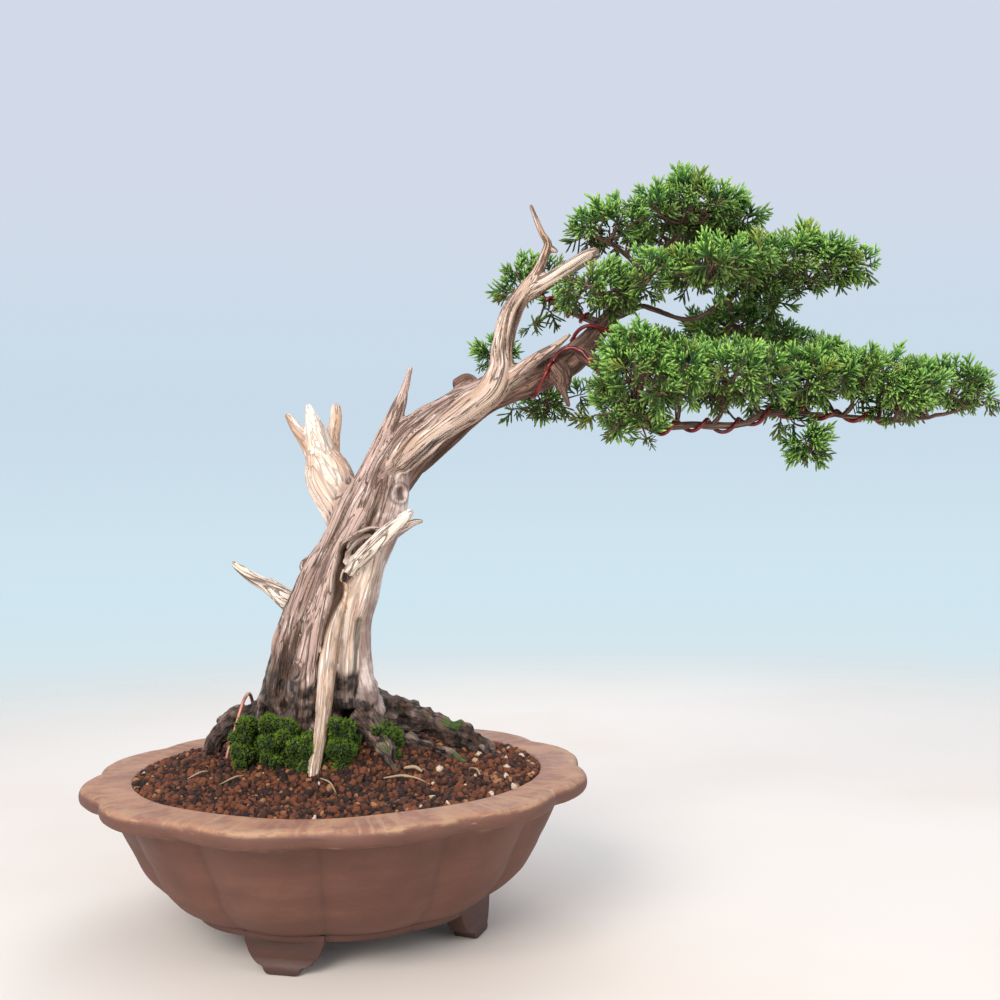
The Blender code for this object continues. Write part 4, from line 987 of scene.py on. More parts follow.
def moss_tuft(seed, length, radius):
    """A tuft of moss: a few short blades that lean apart."""
    rng = random.Random(seed)
    parts, tips = [], []
    for k in range(6):
        turn = 2 * math.pi * k / 6 + rng.uniform(-0.4, 0.4)
        lean = rng.uniform(0.1, 0.75)
        direction = Vector((math.cos(turn) * math.sin(lean), math.sin(turn) * math.sin(lean), math.cos(lean)))
        reach = length * rng.uniform(0.6, 1.1)
        made = shoot(Vector((0, 0, 0)), direction, reach, radius, Vector((0, 0, 0)), 0.0, 1.0)
        parts.append(made[:2])
        tips.extend(made[2])
    points, faces = joined(parts)
    return points, faces, tips


# The pot.

def lobe_wave(turns):
    """0 in the creases and 1 at the middle of each lobe, at angles about the pot's axis."""
    return np.abs(np.sin(LOBES * (turns - FIRST_NOTCH) / 2))


def lobed_ring(radius, height, depth, turns):
    """Points round the pot, pulled in between round lobes."""
    wave = np.sqrt(lobe_wave(turns) ** 2 + CREASE_EASE) - CREASE_FLOOR
    wave = wave / (math.sqrt(1 + CREASE_EASE) - CREASE_FLOOR)
    return ring_of(radius - depth * (1 - wave), height, turns)


def turned(rings, closed):
    """Points and faces of a turned body. Each ring is a row of points, and each end closes on the axis."""
    around = len(rings[0])
    points = np.vstack(rings)
    faces = band_faces(len(rings), around, flipped=True)
    if closed:
        top, bottom = len(points), len(points) + 1
        points = np.vstack([points, [[0, 0, rings[0][0][2]], [0, 0, rings[-1][0][2]]]])
        last = (len(rings) - 1) * around
        for k in range(around):
            n = (k + 1) % around
            faces.append((top, k, n))
            faces.append((bottom, last + n, last + k))
    return points, faces


def outward(obj):
    """Turns every face to look out of the solid."""
    bm = bmesh.new()
    bm.from_mesh(obj.data)
    bmesh.ops.recalc_face_normals(bm, faces=bm.faces)
    bm.to_mesh(obj.data)
    bm.free()


def foot(number, degrees):
    """One cloud-shaped foot with rounded edges, bent along the pot's base."""
    half = smooth_route(FOOT_OUTLINE, 2)
    outline = np.vstack([half, half[::-1] * (-1, 1)])
    middle = (FOOT_INNER + FOOT_OUTER) / 2
    edge = FOOT_ROUNDING
    rings = []
    for radius, inset in (
        (FOOT_INNER, edge), (FOOT_INNER + edge * 0.3, edge * 0.3), (FOOT_INNER + edge, 0), (middle, 0),
        (FOOT_OUTER - edge, 0), (FOOT_OUTER - edge * 0.3, edge * 0.3), (FOOT_OUTER, edge),
    ):
        u, z = outline.T
        u = u - np.copysign(np.minimum(inset, np.abs(u)), u)
        flare = FOOT_FLARE * blend_step(z, FOOT_FLARE_TOP, 0.0) * (1 if radius > middle else -1)
        turn = math.radians(degrees) + u / FOOT_ARC_RADIUS
        ring = ring_of(radius + flare, 0.0, turn)
        ring[:, 2] = z + inset * blend_step(FOOT_TOE - z, 0.0, FOOT_TOE)
        rings.append(ring)
    count = len(outline)
    faces = band_faces(len(rings), count)
    for base in (0, (len(rings) - 1) * count):
        for k in range(count // 2 - 1):
            faces.append((base + k, base + k + 1, base + count - 2 - k, base + count - 1 - k))
    obj = add_piece(f"foot_{number}", np.vstack(rings), faces)
    outward(obj)
    return obj


def plug(number, x, radius):
    """A cylinder that cuts a hole through the pot's floor."""
    turns = round_turns(32)
    points, faces = turned([ring_of(radius, z, turns) + (x, 0, 0) for z in CUTTER_ENDS], False)
    faces += [tuple(range(32)), tuple(range(63, 31, -1))]
    obj = add_piece(f"plug_{number}", points, faces)
    outward(obj)
    return obj


def pot_skin():
    """The turned body with its lobes and the unevenness of hand work: points and faces."""
    rows = [
        *smooth_route(INNER_PROFILE, 3)[:-1], *smooth_route(RIM_PROFILE, 2), *smooth_route(BODY_PROFILE, 3),
        *smooth_route(FOOT_BAND, 2),
    ]
    turns = FIRST_NOTCH + round_turns(LOBES * STEPS_PER_LOBE)
    rings = [lobed_ring(radius, FLOOR_TOP, 0, turns) for radius in FLOOR_RINGS]
    rings += [lobed_ring(*row, turns) for row in rows]
    rings += [lobed_ring(radius, UNDERSIDE, 0, turns) for radius in reversed(FLOOR_RINGS)]
    points, faces = turned(rings, True)
    outer = lengths(points[:, :2])
    round_about = points / np.maximum(outer, 0.02)[:, None]
    swell = noise3(round_about * (3, 3, 1.2), 5) * 0.0006 + noise3(points * 90, 8) * 0.00042
    free = blend_step(outer, 0.1, 0.115)
    points[:, :2] *= (1 + swell * free / np.maximum(outer, 0.02))[:, None]
    points[:, 2] += noise3(round_about * (2.2, 2.2, 0), 9) * 0.0007 * free * (points[:, 2] > 0.08)
    wave = lobe_wave(np.arctan2(points[:, 1], points[:, 0]))
    notch = (1 - blend_step(wave, 0.0, 0.45)) * blend_step(outer, 0.148, 0.158)
    points[:, 2] += notch * NOTCH_SINK * np.sign(RIM_MIDDLE - points[:, 2]) * (points[:, 2] > 0.085)
    return points, faces


def band(values, middle, width):
    """1 where the values are at the middle, falling softly on both sides."""
    return np.exp(-(((values - middle) / width) ** 2))


def mask_pot(pot):
    """Where the pot is dusty and rubbed, and where shade is painted in the groove, the lobe creases and on
    the feet.
    """
    places = points_of(pot)
    height = places[:, 2]
    outer = lengths(places[:, :2])
    top = blend_step(points_of(pot, "normal")[:, 2], 0.25, 0.75) * (height > 0.094)
    lip = blend_step(height, RIM_MIDDLE, 0.098) * 0.22 * (outer > 0.145)
    store(pot, "rim", np.maximum(top, lip))
    edge = band(height, 0.0972, 0.0016) * (outer > 0.15)
    under = band(height, 0.086, 0.0022) * (outer > 0.14) * 0.8
    store(pot, "worn", np.clip(edge + under + blend_step(height, 0.01, 0.0) * 0.2, 0, 1))
    # Painted shade in the groove above the feet, in the lobe creases below the rim and on the feet, darkest
    # at their soles.
    groove = band(height, 0.0238, 0.0014) * (outer > 0.094)
    crease = band(lobe_wave(np.arctan2(places[:, 1], places[:, 0])), 0, 0.1)
    crease = crease * (outer > 0.094) * blend_step(height, 0.09, 0.084) * 0.3
    feet = blend_step(height, 0.0225, 0.018) * 0.7 + blend_step(height, 0.0048, 0.0) * 0.3
    store(pot, "soot", np.clip(groove + crease + feet, 0, 1))
    ways = places[:, :2] / np.maximum(outer, 0.01)[:, None] * 0.16
    store(pot, "spokes", np.column_stack([ways, outer * 0.12]), "FLOAT_VECTOR")


def make_pot(finish):
    """The pot's body with its feet joined on and its holes cut."""
    pot = add_piece("pot_body", *pot_skin())
    outward(pot)
    feet = [foot(i + 1, angle) for i, angle in enumerate(FOOT_ANGLES)]
    cutters = [plug(i + 1, x, radius) for i, (x, radius) in enumerate(HOLES)]
    for other in feet + cutters:
        modifier = pot.modifiers.new(other.name, "BOOLEAN")
        modifier.operation = "UNION" if other in feet else "DIFFERENCE"
        modifier.object = other
    applied(pot)
    discard(feet + cutters)
    pot.data.set_sharp_from_angle(angle=math.radians(42))
    mask_pot(pot)
    move_points(pot, points_of(pot) + POT_AXIS)
    pot.data.materials.clear()
    pot.data.materials.append(finish)
    return pot


# The soil.

def soil_height(x, y):
    """Height of the soil: a mound round the tree, lower at the front."""
    distance = np.hypot(x, y)
    front = np.clip(-y / np.maximum(distance, 1e-6), 0, 1)
    dip = FRONT_DIP * front * blend_step(distance, 0.02, 0.046) * blend_step(distance, 0.12, 0.096)
    return np.interp(distance, *zip(*SOIL_PROFILE)) - dip


def soil_surface(rings, around):
    """The top of the soil as rings of points from the rim inwards, with soft humps."""
    out = []
    for share in np.linspace(1, 0.02, rings):
        ring = ring_of(SOIL_RADIUS * share, 0.0, round_turns(around))
        humps = noise3(ring * 60, 3) * 0.0016 + noise3(ring * 160, 4) * 0.001
        ring[:, 2] = soil_height(ring[:, 0], ring[:, 1]) + humps * blend_step(np.array(1 - share), 0.0, 0.12)
        out.append(ring)
    return out


def make_soil_bed(finish):
    """The body of the soil below the loose grains."""
    around = 160
    wall = [ring_of(radius, z, round_turns(around)) for radius, z in SOIL_WALL[1:-1]]
    points, faces = turned(soil_surface(36, around)[::-1] + wall, True)
    points[:, 2] += noise3(points * 300, 6) * 0.0004 * (points[:, 2] > 0.08)
    points[-1][2] = SOIL_WALL[-1][1]
    obj = add_piece("soil_bed", points + POT_AXIS, faces, finish)
    outward(obj)
    # The bed is nearly the dark grain colour: painted shade between the grains.
    store_all(obj, shade=0.15)
    return obj


def soil_ground(keep):
    """A sheet over the soil's top where keep(points) holds, for grains to lie on."""
    points, faces = turned(soil_surface(30, 120), False)
    wanted = keep(points)
    faces = [face for face in faces if all(wanted[i] for i in face)]
    obj = add_piece("ground", points + POT_AXIS, faces)
    face_up(obj)
    return obj


def face_up(obj):
    """Turns faces that look down so that all of them look up, and drops loose points."""
    bm = bmesh.new()
    bm.from_mesh(obj.data)
    bmesh.ops.delete(bm, geom=[v for v in bm.verts if not v.link_faces], context="VERTS")
    bm.normal_update()
    for face in bm.faces:
        if face.normal.z < 0:
            face.normal_flip()
    bm.to_mesh(obj.data)
    bm.free()


# The tree.

class Limb:
    """One limb's centre line as close samples, with its radius, its directions and the run from its base."""

    def __init__(self, name, per_span=8):
        samples = smooth_route(LIMBS[name], per_span)
        self.name = name
        self.centres = samples[:, :3] + POT_AXIS
        self.radii = samples[:, 3]
        self.ahead, self.sides, self.ups = frames(self.centres)
        steps = lengths(np.diff(self.centres, axis=0))
        self.run = np.concatenate([[0], np.cumsum(steps)])

    def near(self, points, reach):
        """Which points may be within reach of the limb."""
        margin = self.radii.max() + reach
        low = self.centres.min(axis=0) - margin
        high = self.centres.max(axis=0) + margin
        return np.nonzero(((points > low) & (points < high)).all(axis=1))[0]

    def around(self, points):
        """Each point's gap to the limb's surface, its angle and run there, and the limb's radius."""
        gaps = ((points[:, None] - self.centres[None]) ** 2).sum(axis=2)
        k = gaps.argmin(axis=1)
        offset = points - self.centres[k]
        along = (offset * self.ahead[k]).sum(axis=1)
        half = np.gradient(self.run)[k] * 0.6
        past = np.abs(along) - half
        along = np.clip(along, -half, half)
        offset = offset - self.ahead[k] * along[:, None]
        angle = np.arctan2((offset * self.ups[k]).sum(axis=1), (offset * self.sides[k]).sum(axis=1))
        distance = lengths(offset)
        return distance - self.radii[k] + np.maximum(past, 0) * 0.2, angle, self.run[k] + along, self.radii[k]


def straightened(limb, points, twist):
    """The points as they would lie if the limb were straight, for grain that follows it."""
    gap, angle, run, radius = limb.around(points)
    angle = angle + twist * run
    place = np.stack([np.cos(angle) * radius, np.sin(angle) * radius, run], axis=1)
    return gap, place, radius


def relief(place, radius, smooth, seed, settings):
    """How far the wood stands in or out along its grain, in metres."""
    size = np.clip(radius / 0.01, 0.22, 1.25)
    broad = noise3(place * (165, 165, 13), seed)
    crease = noise3(place * (250, 250, 15), seed + 1)
    fibre = noise3(place * (520, 520, 30), seed + 2)
    fine = noise3(place * (900, 900, 70), seed + 3)
    height = broad * settings.flutes * size
    height -= (1 - np.abs(crease)) ** 6 * settings.creases * size
    height += fibre * settings.fibres * size
    height += fine * settings.fibres * 0.5 * np.sqrt(size)
    return height * (1 - 0.6 * smooth)


def make_wood(settings, finish):
    """The trunk, roots and deadwood as one skin, with flutes, creases and old wounds."""
    limbs = [Limb(name) for name in LIMBS if not name.endswith("_branch")]
    parts = []
    for limb in limbs:
        root = "root" in WOOD_OF[limb.name]
        rough = 0.16 if root or limb.name in ("burr", "bark_nub") else 0.07
        wobble = 1 + rough * noise3(limb.centres * (1100 * rough - 5), 21)
        wobble *= LIMB_SHARES.get(limb.name, ROOT_SHARE if root else 1)
        parts.append(tube(limb.centres, limb.radii * wobble, 20))
    obj = fused(add_piece("trunk_wood", *joined(parts)), settings.skin)
    points, facing = points_of(obj), points_of(obj, "normal")
    count = len(points)
    weight = np.zeros(count)
    height = np.zeros(count)
    kinds = np.zeros((count, 4))
    closest = np.full(count, np.inf)
    owner = np.zeros(count, int)
    for number, limb in enumerate(limbs):
        near = limb.near(points, 0.006)
        if not len(near):
            continue
        kind = np.array(WOODS[WOOD_OF[limb.name]])
        gap, place, radius = straightened(limb, points[near], settings.twist)
        share = np.exp(-np.clip(gap, -0.001, 0.02) / 0.0011)
        height[near] += share * relief(place, radius, kind[2], 40 + number, settings)
        kinds[near] += share[:, None] * kind
        weight[near] += share
        better = gap < closest[near]
        closest[near[better]] = gap[better]
        owner[near[better]] = number
    weight = np.maximum(weight, 1e-9)
    height /= weight
    kinds /= weight[:, None]
    own = points - POT_AXIS
    names = np.array([limb.name for limb in limbs])[owner]
    # Painted shade: darker where the wood sinks in, in the grooves and holes, and round and inside the knots.
    hollow = blend_step(-height, 0.0006, 0.0021) * 0.85
    push = np.zeros((count, 3))
    for line, width, depth in GROOVES:
        distance = to_line(own, line) / (width * 1.5)
        inside = np.clip(1 - distance**2, 0, 1) * ~np.isin(names, WHOLE_LIMBS)
        push[:, 1] += inside * depth
        hollow = np.maximum(hollow, blend_step(inside, 0.25, 0.8) * min(1.0, depth / 0.004))
    for middle, radius, proud, deep in KNOTS:
        distance = lengths((own - middle) * (1, 0.6, 1)) / radius
        inside = np.clip(1 - distance**2, 0, 1)
        height += band(distance, 1, 0.22) * proud - inside * deep
        rim = band(distance, 1.32, 0.16) * 0.7
        hollow = np.maximum(hollow, rim + inside * min(1.0, deep / 0.003) * 0.6)
    rooty = np.clip(kinds[:, 3] + blend_step(own[:, 2], 0.168, 0.15), 0, 1)
    knobs = noise3(own * (170, 170, 110), 44) * 0.0015 + noise3(own * (430, 430, 300), 45) * 0.0009
    pits = np.clip(noise3(own * (150, 150, 80), 46) - 0.28, 0, 1) * 0.006
    height += (knobs - pits) * rooty * (1 - 0.85 * (names == "front_strip"))
    points = points + facing * height[:, None] + push
    move_points(obj, points)
    ease = obj.modifiers.new("ease", "SMOOTH")
    ease.factor = 0.35
    ease.iterations = 1
    applied(obj)

    ragged = noise3(own * 95, 31) * 0.007
    climb = 0.022 * blend_step(own[:, 0], -0.017, -0.03)
    foot_dark = blend_step(own[:, 2] + ragged - climb, 0.156, 0.14)
    strip = names == "front_strip"
    wet = kinds[:, 3] * blend_step(own[:, 2] - ragged, 0.15, 0.13)
    wet = np.maximum(wet, foot_dark * (1 - 0.9 * strip))
    under_panel = np.isin(names, ("pale_panel", "mid_flute"))
    under_panel = blend_step(own[:, 2] + ragged * 0.6, 0.168, 0.158) * under_panel
    wet = np.maximum(wet, under_panel * (own[:, 0] > -0.008))
    wet *= 0.75 + 0.25 * blend_step(noise3(own * 260, 33), -0.3, 0.2)
    # Painted light: upward faces and knobs on the roots stay lighter.
    ridge = blend_step(facing[:, 2] * 0.6 + knobs * 420 + noise3(own * 130, 34) * 0.5, 0.25, 0.75)
    wet *= 1 - 0.6 * ridge * rooty
    # Painted shade in the pits.
    wet = np.maximum(wet, rooty * blend_step(pits, 0.0003, 0.0012) * ~strip)
    right_pink = blend_step(own[:, 0], 0.004, 0.014) * blend_step(own[:, 2], 0.128, 0.138) * (own[:, 1] < 0)
    wet *= 1 - 0.7 * right_pink * (names == "right_column")
    up = blend_step(facing[:, 2], 0.1, 0.7)
    tufts = blend_step(noise3(own * 120, 35) + noise3(own * 340, 36) * 0.6, 0.25, 0.6)
    green = up * tufts * blend_step(own[:, 2], 0.14, 0.125)
    pale = kinds[:, 0] * (1 - 0.5 * blend_step(noise3(own * 45, 37), 0.1, 0.6) * (kinds[:, 0] < 0.9))
    store(obj, "pale", pale)
    store(obj, "brown", kinds[:, 1])
    store(obj, "smooth", kinds[:, 2])
    store(obj, "wet", np.clip(wet, 0, 1))
    store(obj, "hollow", np.clip(hollow, 0, 1))
    store(obj, "green", np.clip(green, 0, 1) * 0.85)
    store_grain(obj, limbs, owner, points, settings.twist)
    obj.data.materials.clear()
    obj.data.materials.append(finish)
    return obj


def store_grain(obj, limbs, owner, points, twist):
    """The straightened place of each face corner, by one limb for a whole face so that no grain smears."""
    mesh = obj.data
    vertex = np.empty(len(mesh.loops), np.int32)
    mesh.loops.foreach_get("vertex_index", vertex)
    starts = np.empty(len(mesh.polygons), np.int32)
    sizes = np.empty(len(mesh.polygons), np.int32)
    mesh.polygons.foreach_get("loop_start", starts)
    mesh.polygons.foreach_get("loop_total", sizes)
    face_owner = np.repeat(owner[vertex[starts]], sizes)
    places = np.zeros((len(vertex), 3))
    for number, limb in enumerate(limbs):
        mine = np.nonzero(face_owner == number)[0]
        if len(mine):
            places[mine] = straightened(limb, points[vertex[mine]], twist)[1] + number * 0.37
    store(obj, "straight", places, "FLOAT_VECTOR", "CORNER")


def store_plain_wood(obj, kind, places):
    """The wood masks for a piece that is all of one kind."""
    store_all(obj, **dict(zip(("pale", "brown", "smooth", "wet"), WOODS[kind])), hollow=0.0, green=0.0)
    store(obj, "straight", places, "FLOAT_VECTOR", "POINT")


def twig(centres, radii, around, number):
    """A knobbly tube, with its points as they would lie on a straight twig."""
    centres = np.asarray(centres, float)
    spots = np.zeros((len(centres), 3))
    spots[:, 0] = np.arange(len(centres)) * 0.7 + number
    knobs = 1 + 0.16 * noise3(spots, 51)
    points, faces = tube(centres, np.asarray(radii) * knobs, around)
    steps = lengths(np.diff(centres, axis=0))
    run = np.repeat(np.concatenate([[0], np.cumsum(steps)]), around)
    turn = np.tile(round_turns(around), len(centres))
    reach = np.repeat(radii, around)
    places = np.stack([np.cos(turn) * reach, np.sin(turn) * reach, run + number * 0.11], axis=1)
    places = np.vstack([places, [[0, 0, number * 0.11], [0, 0, run[-1] + number * 0.11]]])
    return points, faces, places


def make_branches(finish):
    """The live branches that carry the foliage."""
    parts, places = [], []
    for number, name in enumerate(n for n in LIMBS if n.endswith("_branch")):
        limb = Limb(name, 6)
        wander = np.stack([noise3(limb.centres * 160, 60 + axis) for axis in range(3)], axis=1) * 0.0007
        wander *= blend_step(np.arange(len(limb.centres)), 0, 8)[:, None]
        points, faces, place = twig(limb.centres + wander, limb.radii * BRANCH_SHARE, 10, number)
        parts.append((points, faces))
        places.append(place)
    obj = add_piece("live_branches", *joined(parts), finish)
    store_plain_wood(obj, "brown", np.vstack(places))
    return obj


def clump_places(name, settings):
    """Middles of the round clumps that make up a pad, with the way each faces."""
    middle, half = PADS[name]
    middle = np.array(middle) + POT_AXIS
    half = np.array(half)
    rng = random.Random(sum(map(ord, name)))
    size = settings.clump
    inner = np.maximum(half - settings.spray * 1.15, half * 0.3)
    narrow, taper = PAD_TAPERS.get(name, ((0, 0, 1), 0.0))
    narrow = np.array(narrow) / np.linalg.norm(narrow)
    area = 4 * math.pi * np.mean(inner * np.roll(inner, 1))
    count = max(8, int(area / (size * size * CLUMP_SHARE)))
    lowest = PAD_UNDERSIDES.get(name, USUAL_UNDERSIDE)
    out = []
    spin = rng.uniform(0, 2 * math.pi)
    for k in range(count):
        height = 1 - (1 - lowest) * (k + 0.5) / count
        across = math.sqrt(max(0, 1 - height * height))
        turn = spin + k * GOLDEN_TURN + rng.uniform(-0.25, 0.25)
        way = np.array([across * math.cos(turn), across * math.sin(turn), height])
        end = way @ narrow
        step = way * inner * (1 + rng.uniform(-0.22, 0.14))
        across_step = step - narrow * (step @ narrow)
        step -= across_step * taper * max(0, end + 0.15)
        out.append((middle + step, way))
    for offset in PAD_STRAYS.get(name, ()):
        out.append((middle + offset, np.array(offset) / np.linalg.norm(offset)))
    for other in list(PADS)[list(PADS).index(name) + 1 :]:
        out += bridge(name, other, rng)
    return out, middle, half


def bridge(name, other, rng):
    """Clumps that fill the waist between two neighbouring pads."""
    (here, half), (there, other_half) = [[np.array(row) for row in PADS[key]] for key in (name, other)]
    apart = there - here
    length = np.linalg.norm(apart)
    direction = apart / length
    mine = 1 / np.linalg.norm(direction / half)
    theirs = 1 / np.linalg.norm(direction / other_half)
    if length > (mine + theirs) * 1.22 or abs(apart[2]) > 0.028:
        return []
    meet = here + apart * mine / (mine + theirs) + POT_AXIS
    low = np.minimum(half, other_half)
    out = []
    for turn in range(7):
        angle = math.pi * (turn / 6 * 1.3 - 0.15)
        way = np.array([rng.uniform(-0.25, 0.25), math.cos(angle), math.sin(angle)])
        reach = (low - 0.012).clip(0.004) * rng.uniform(0.8, 1.0)
        out.append((meet + way * reach, way / np.linalg.norm(way)))
    return out


def hides_deadwood(spots, bare):
    """Which of the spots would stand in front of deadwood that shows, seen from the front."""
    hidden = np.zeros(len(spots), bool)
    for limb in bare:
        flat = spots[:, None, ::2] - limb.centres[None, :, ::2]
        distance = np.linalg.norm(flat, axis=2)
        k = distance.argmin(axis=1)
        close = distance[np.arange(len(spots)), k] < limb.radii[k] + DEADWOOD_MARGIN
        hidden |= close & (spots[:, 1] < limb.centres[k, 1] + 0.004)
    return hidden


def clump_shell(centre, way, radius, others, reach, bare):
    """A small ball of ground for sprays, without what faces into the pad or sits in another clump."""
    points, faces = ball(3)
    out = points[np.array(faces)].mean(axis=1)
    spots = centre + out * reach
    kept = (out @ way > -0.35) & ~((out[:, 2] < -0.8) & (way[2] < 0.1))
    if len(others):
        apart = np.linalg.norm(spots[:, None] - np.array(others)[None], axis=2).min(axis=1)
        kept &= apart > reach * 0.66
    kept &= ~hides_deadwood(spots, bare)
    # Darker and browner towards the clump's underside and on clumps that face down: browner foliage with
    # painted shade.
    low = np.clip(0.4 - points[:, 2] * 0.5 - way[2] * 0.35, 0, 1)
    return centre + points * radius, [face for face, keep in zip(faces, kept) if keep], low


def make_pads(settings, leaf, bark):
    """Every foliage pad as sprays on round clumps, and the twigs that hold the clumps."""
    shapes = shape_set("sprays", [spray(70 + k, settings.spray, settings.shoot, 8 + k % 3) for k in range(6)])
    bare = [Limb(name, 4) for name in BARE_LIMBS]
    holders = [Limb(name, 6) for name in LIMBS if name.endswith("_branch") or name == "live_vein"]
    held = np.vstack([limb.centres for limb in holders])
    parts, places, pieces = [], [], []

    def hold(line, thick, thin, around):
        points, faces, place = twig(line, np.linspace(thick, thin, len(line)), around, len(parts))
        parts.append((points, faces))
        places.append(place)

    for order, name in enumerate(PADS):
        clumps, middle, half = clump_places(name, settings)
        below = Limb(PAD_HOLDERS[name], 6).centres if name in PAD_HOLDERS else held
        away = ((below - middle) ** 2).sum(axis=1)
        nearest = below[away.argmin()]
        heart = middle - (0, 0, half[2] * 0.3)
        bend = (nearest + heart) / 2 + (0.002, 0.001, -0.003)
        stem = smooth_route([nearest, bend, heart], 4)
        hold(stem, 0.0016, 0.0009, 6)
        stem = np.vstack([below[away < (max(half) * 0.9) ** 2], stem])
        grounds, notes = [], []
        for k, (centre, way) in enumerate(clumps):
            others = [other for i, (other, _) in enumerate(clumps) if i != k]
            points, faces, low = clump_shell(centre, way, settings.clump * 0.22, others, settings.clump, bare)
            if not faces:
                continue
            grounds.append((points, faces))
            notes.append(low)
            start = stem[((stem - centre) ** 2).sum(axis=1).argmin()]
            sag = (start * 0.55 + centre * 0.45) + (0, 0, -0.003)
            end = centre + way * settings.clump * 0.45
            hold(smooth_route([start, sag, centre, end], 3), 0.0009, 0.0004, 5)
        ground = add_piece("ground", *joined(grounds))
        # The clumps' undersides, for browner foliage and painted shade.
        store(ground, "inner", np.concatenate(notes))
        lift = PAD_LIFTS.get(name, USUAL_LIFT)
        piece_name = name.replace("foliage_", "leaf_pad_")
        obj = scatter(piece_name, ground, shapes, leaf, settings.spacing, 0.62, 1.32, 0.72, lift, 100 + order)
        pieces.append((obj, name))
    clear_set(shapes)
    twigs = add_piece("leaf_twigs", *joined(parts), bark)
    store_plain_wood(twigs, "brown", np.vstack(places))
    return pieces, twigs


def make_moss(settings, finish):
    """Moss clumps as short tufts on uneven humps, over the roots."""
    shapes = shape_set("tufts", [moss_tuft(20 + k, settings.tuft, 0.00026) for k in range(4)])
    pieces = []
    round_lump, lump_faces = ball(2)
    for order, (name, (middle, half)) in enumerate(MOSS.items()):
        rng = random.Random(order + 3)
        lumps = []
        for k in range(settings.lumps):
            way = Vector([rng.gauss(0, 1) for _ in range(3)]).normalized() * rng.uniform(0.45, 1.1)
            radius = rng.uniform(0.22, 0.46) * min(half)
            lumps.append((np.array(middle) + round_lump * radius + np.array(way) * half, lump_faces))
        huddle = fused(add_piece("huddle", *joined(lumps)), MOSS_SKIN)
        skin, facing = points_of(huddle), points_of(huddle, "normal")
        faces = [tuple(face.vertices) for face in huddle.data.polygons]
        discard([huddle])
        rough = 0.0011 * noise3(skin * 260, 81) + 0.0006 * noise3(skin * 600, 82)
        skin = skin + facing * rough[:, None] + POT_AXIS
        # Painted shade: darker where the moss faces down or dips in.
        low = np.clip(0.35 - facing[:, 2] * 0.7 - rough / 0.003, 0, 1)
        ground = add_piece("ground", skin, faces)
        store(ground, "inner", low)
        spacing = settings.tuft * 0.5
        tufts = scatter(name + "_tufts", ground, shapes, finish, spacing, 0.6, 1.3, 0.6, 0.25, 300 + order)
        hump = add_piece(name + "_hump", skin, faces, finish)
        # The humps under the tufts take mostly the painted shade.
        store_all(hump, tip=0.15, inner=0.8, shade=0.3)
        pieces.append((tufts, hump, name))
    clear_set(shapes)
    return pieces


def moss_finish(settings):
    """Moss: bright tips over painted shade in its depths, and more painted shade where it faces down or dips
    in.
    """
    made, tree, shader = new_finish("moss", 0.85)
    tip, shade, inner = [stored(tree, name) for name in ("tip", "shade", "inner")]
    where = own_place(tree)
    patch = speckle(tree, where, 150.0, 4.0, 0.6)
    # The tufts' bases take the painted shade of the moss's depths.
    base = mix(tree, span(tree, tip, 0.0, 0.9), settings.moss_shade, settings.moss)
    bright = times(tree, span(tree, shade, 0.3, 1.0), span(tree, patch, 0.45, 0.7))
    base = mix(tree, bright, base, settings.moss_light)
    # Painted shade where the moss faces down or dips in.
    base = mix(tree, times(tree, inner, 0.55), base, settings.moss_shade)
    painted(tree, shader, base, span(tree, patch, 0.3, 0.7, 0.75, 0.95))
    raised(tree, shader, speckle(tree, where, 1300.0), 0.0005, 0.6)
    return made


# The wires.

def seated(route, skin, clearance):
    """The route pushed out of the wood wherever the wire would sink into it."""
    out = [Vector(p) for p in route]
    for _ in range(6):
        for i, point in enumerate(out):
            nearest, normal, _, _ = skin.find_nearest(point)
            if (point - nearest).dot(normal) < clearance:
                out[i] = nearest + normal * clearance
    return np.array(out)


def coil(name, first, last, turns, start, radius):
    """A wire's centre line wound left-handed round a limb, beginning on the side that faces the start."""
    limb = Limb(name)
    count = len(limb.centres) - 1
    k = int(first * count)
    towards = np.array(start) - limb.centres[k]
    phase = math.atan2(towards @ limb.ups[k], towards @ limb.sides[k])
    out = []
    steps = int(turns * 24)
    for i in range(steps + 1):
        place = (first + (last - first) * i / steps) * count
        k = min(int(place), count - 1)
        centre = limb.centres[k] + (limb.centres[k + 1] - limb.centres[k]) * (place - k)
        reach = limb.radii[k] * BRANCH_SHARE * 1.1 + radius
        turn = phase - 2 * math.pi * turns * i / steps
        out.append(centre + (limb.sides[k] * math.cos(turn) + limb.ups[k] * math.sin(turn)) * reach)
    return np.array(out)


def route_of(points, per_span):
    """A smooth line in the model's frame through points about the pot's axis."""
    return smooth_route(points, per_span) + POT_AXIS


def clip_route():
    """The clip's wire from foot to foot, over the mesh and down through the drain hole."""
    top, under, corner = 0.0305, 0.0174, 0.0012
    leg, bit = CLIP_LEG_X, corner * 0.3
    right = [
        (0.0, top), (leg - corner * 2, top), (leg - bit, top - bit), (leg, top - corner * 2),
        (leg, under + corner * 2), (leg + bit, under + bit), (leg + corner * 2, under), (CLIP_FOOT_X, under),
    ]
    return [(-x, CLIP_Y, z) for x, z in reversed(right[1:])] + [(x, CLIP_Y, z) for x, z in right]


def add_wire(name, centres, radius, finish, around=12):
    points, faces = tube(centres, np.full(len(centres), radius), around)
    return add_piece(name, points, faces, finish)


# The stage.

SENSOR_WIDTH = 36.0
LENS_FOCAL = 1.15 * SENSOR_WIDTH
CAMERA_PLACE = (0.1057, -0.7535, 0.2573)
CAMERA_TILT = math.radians(91.05)
CAMERA_ROLL = math.radians(-0.63)


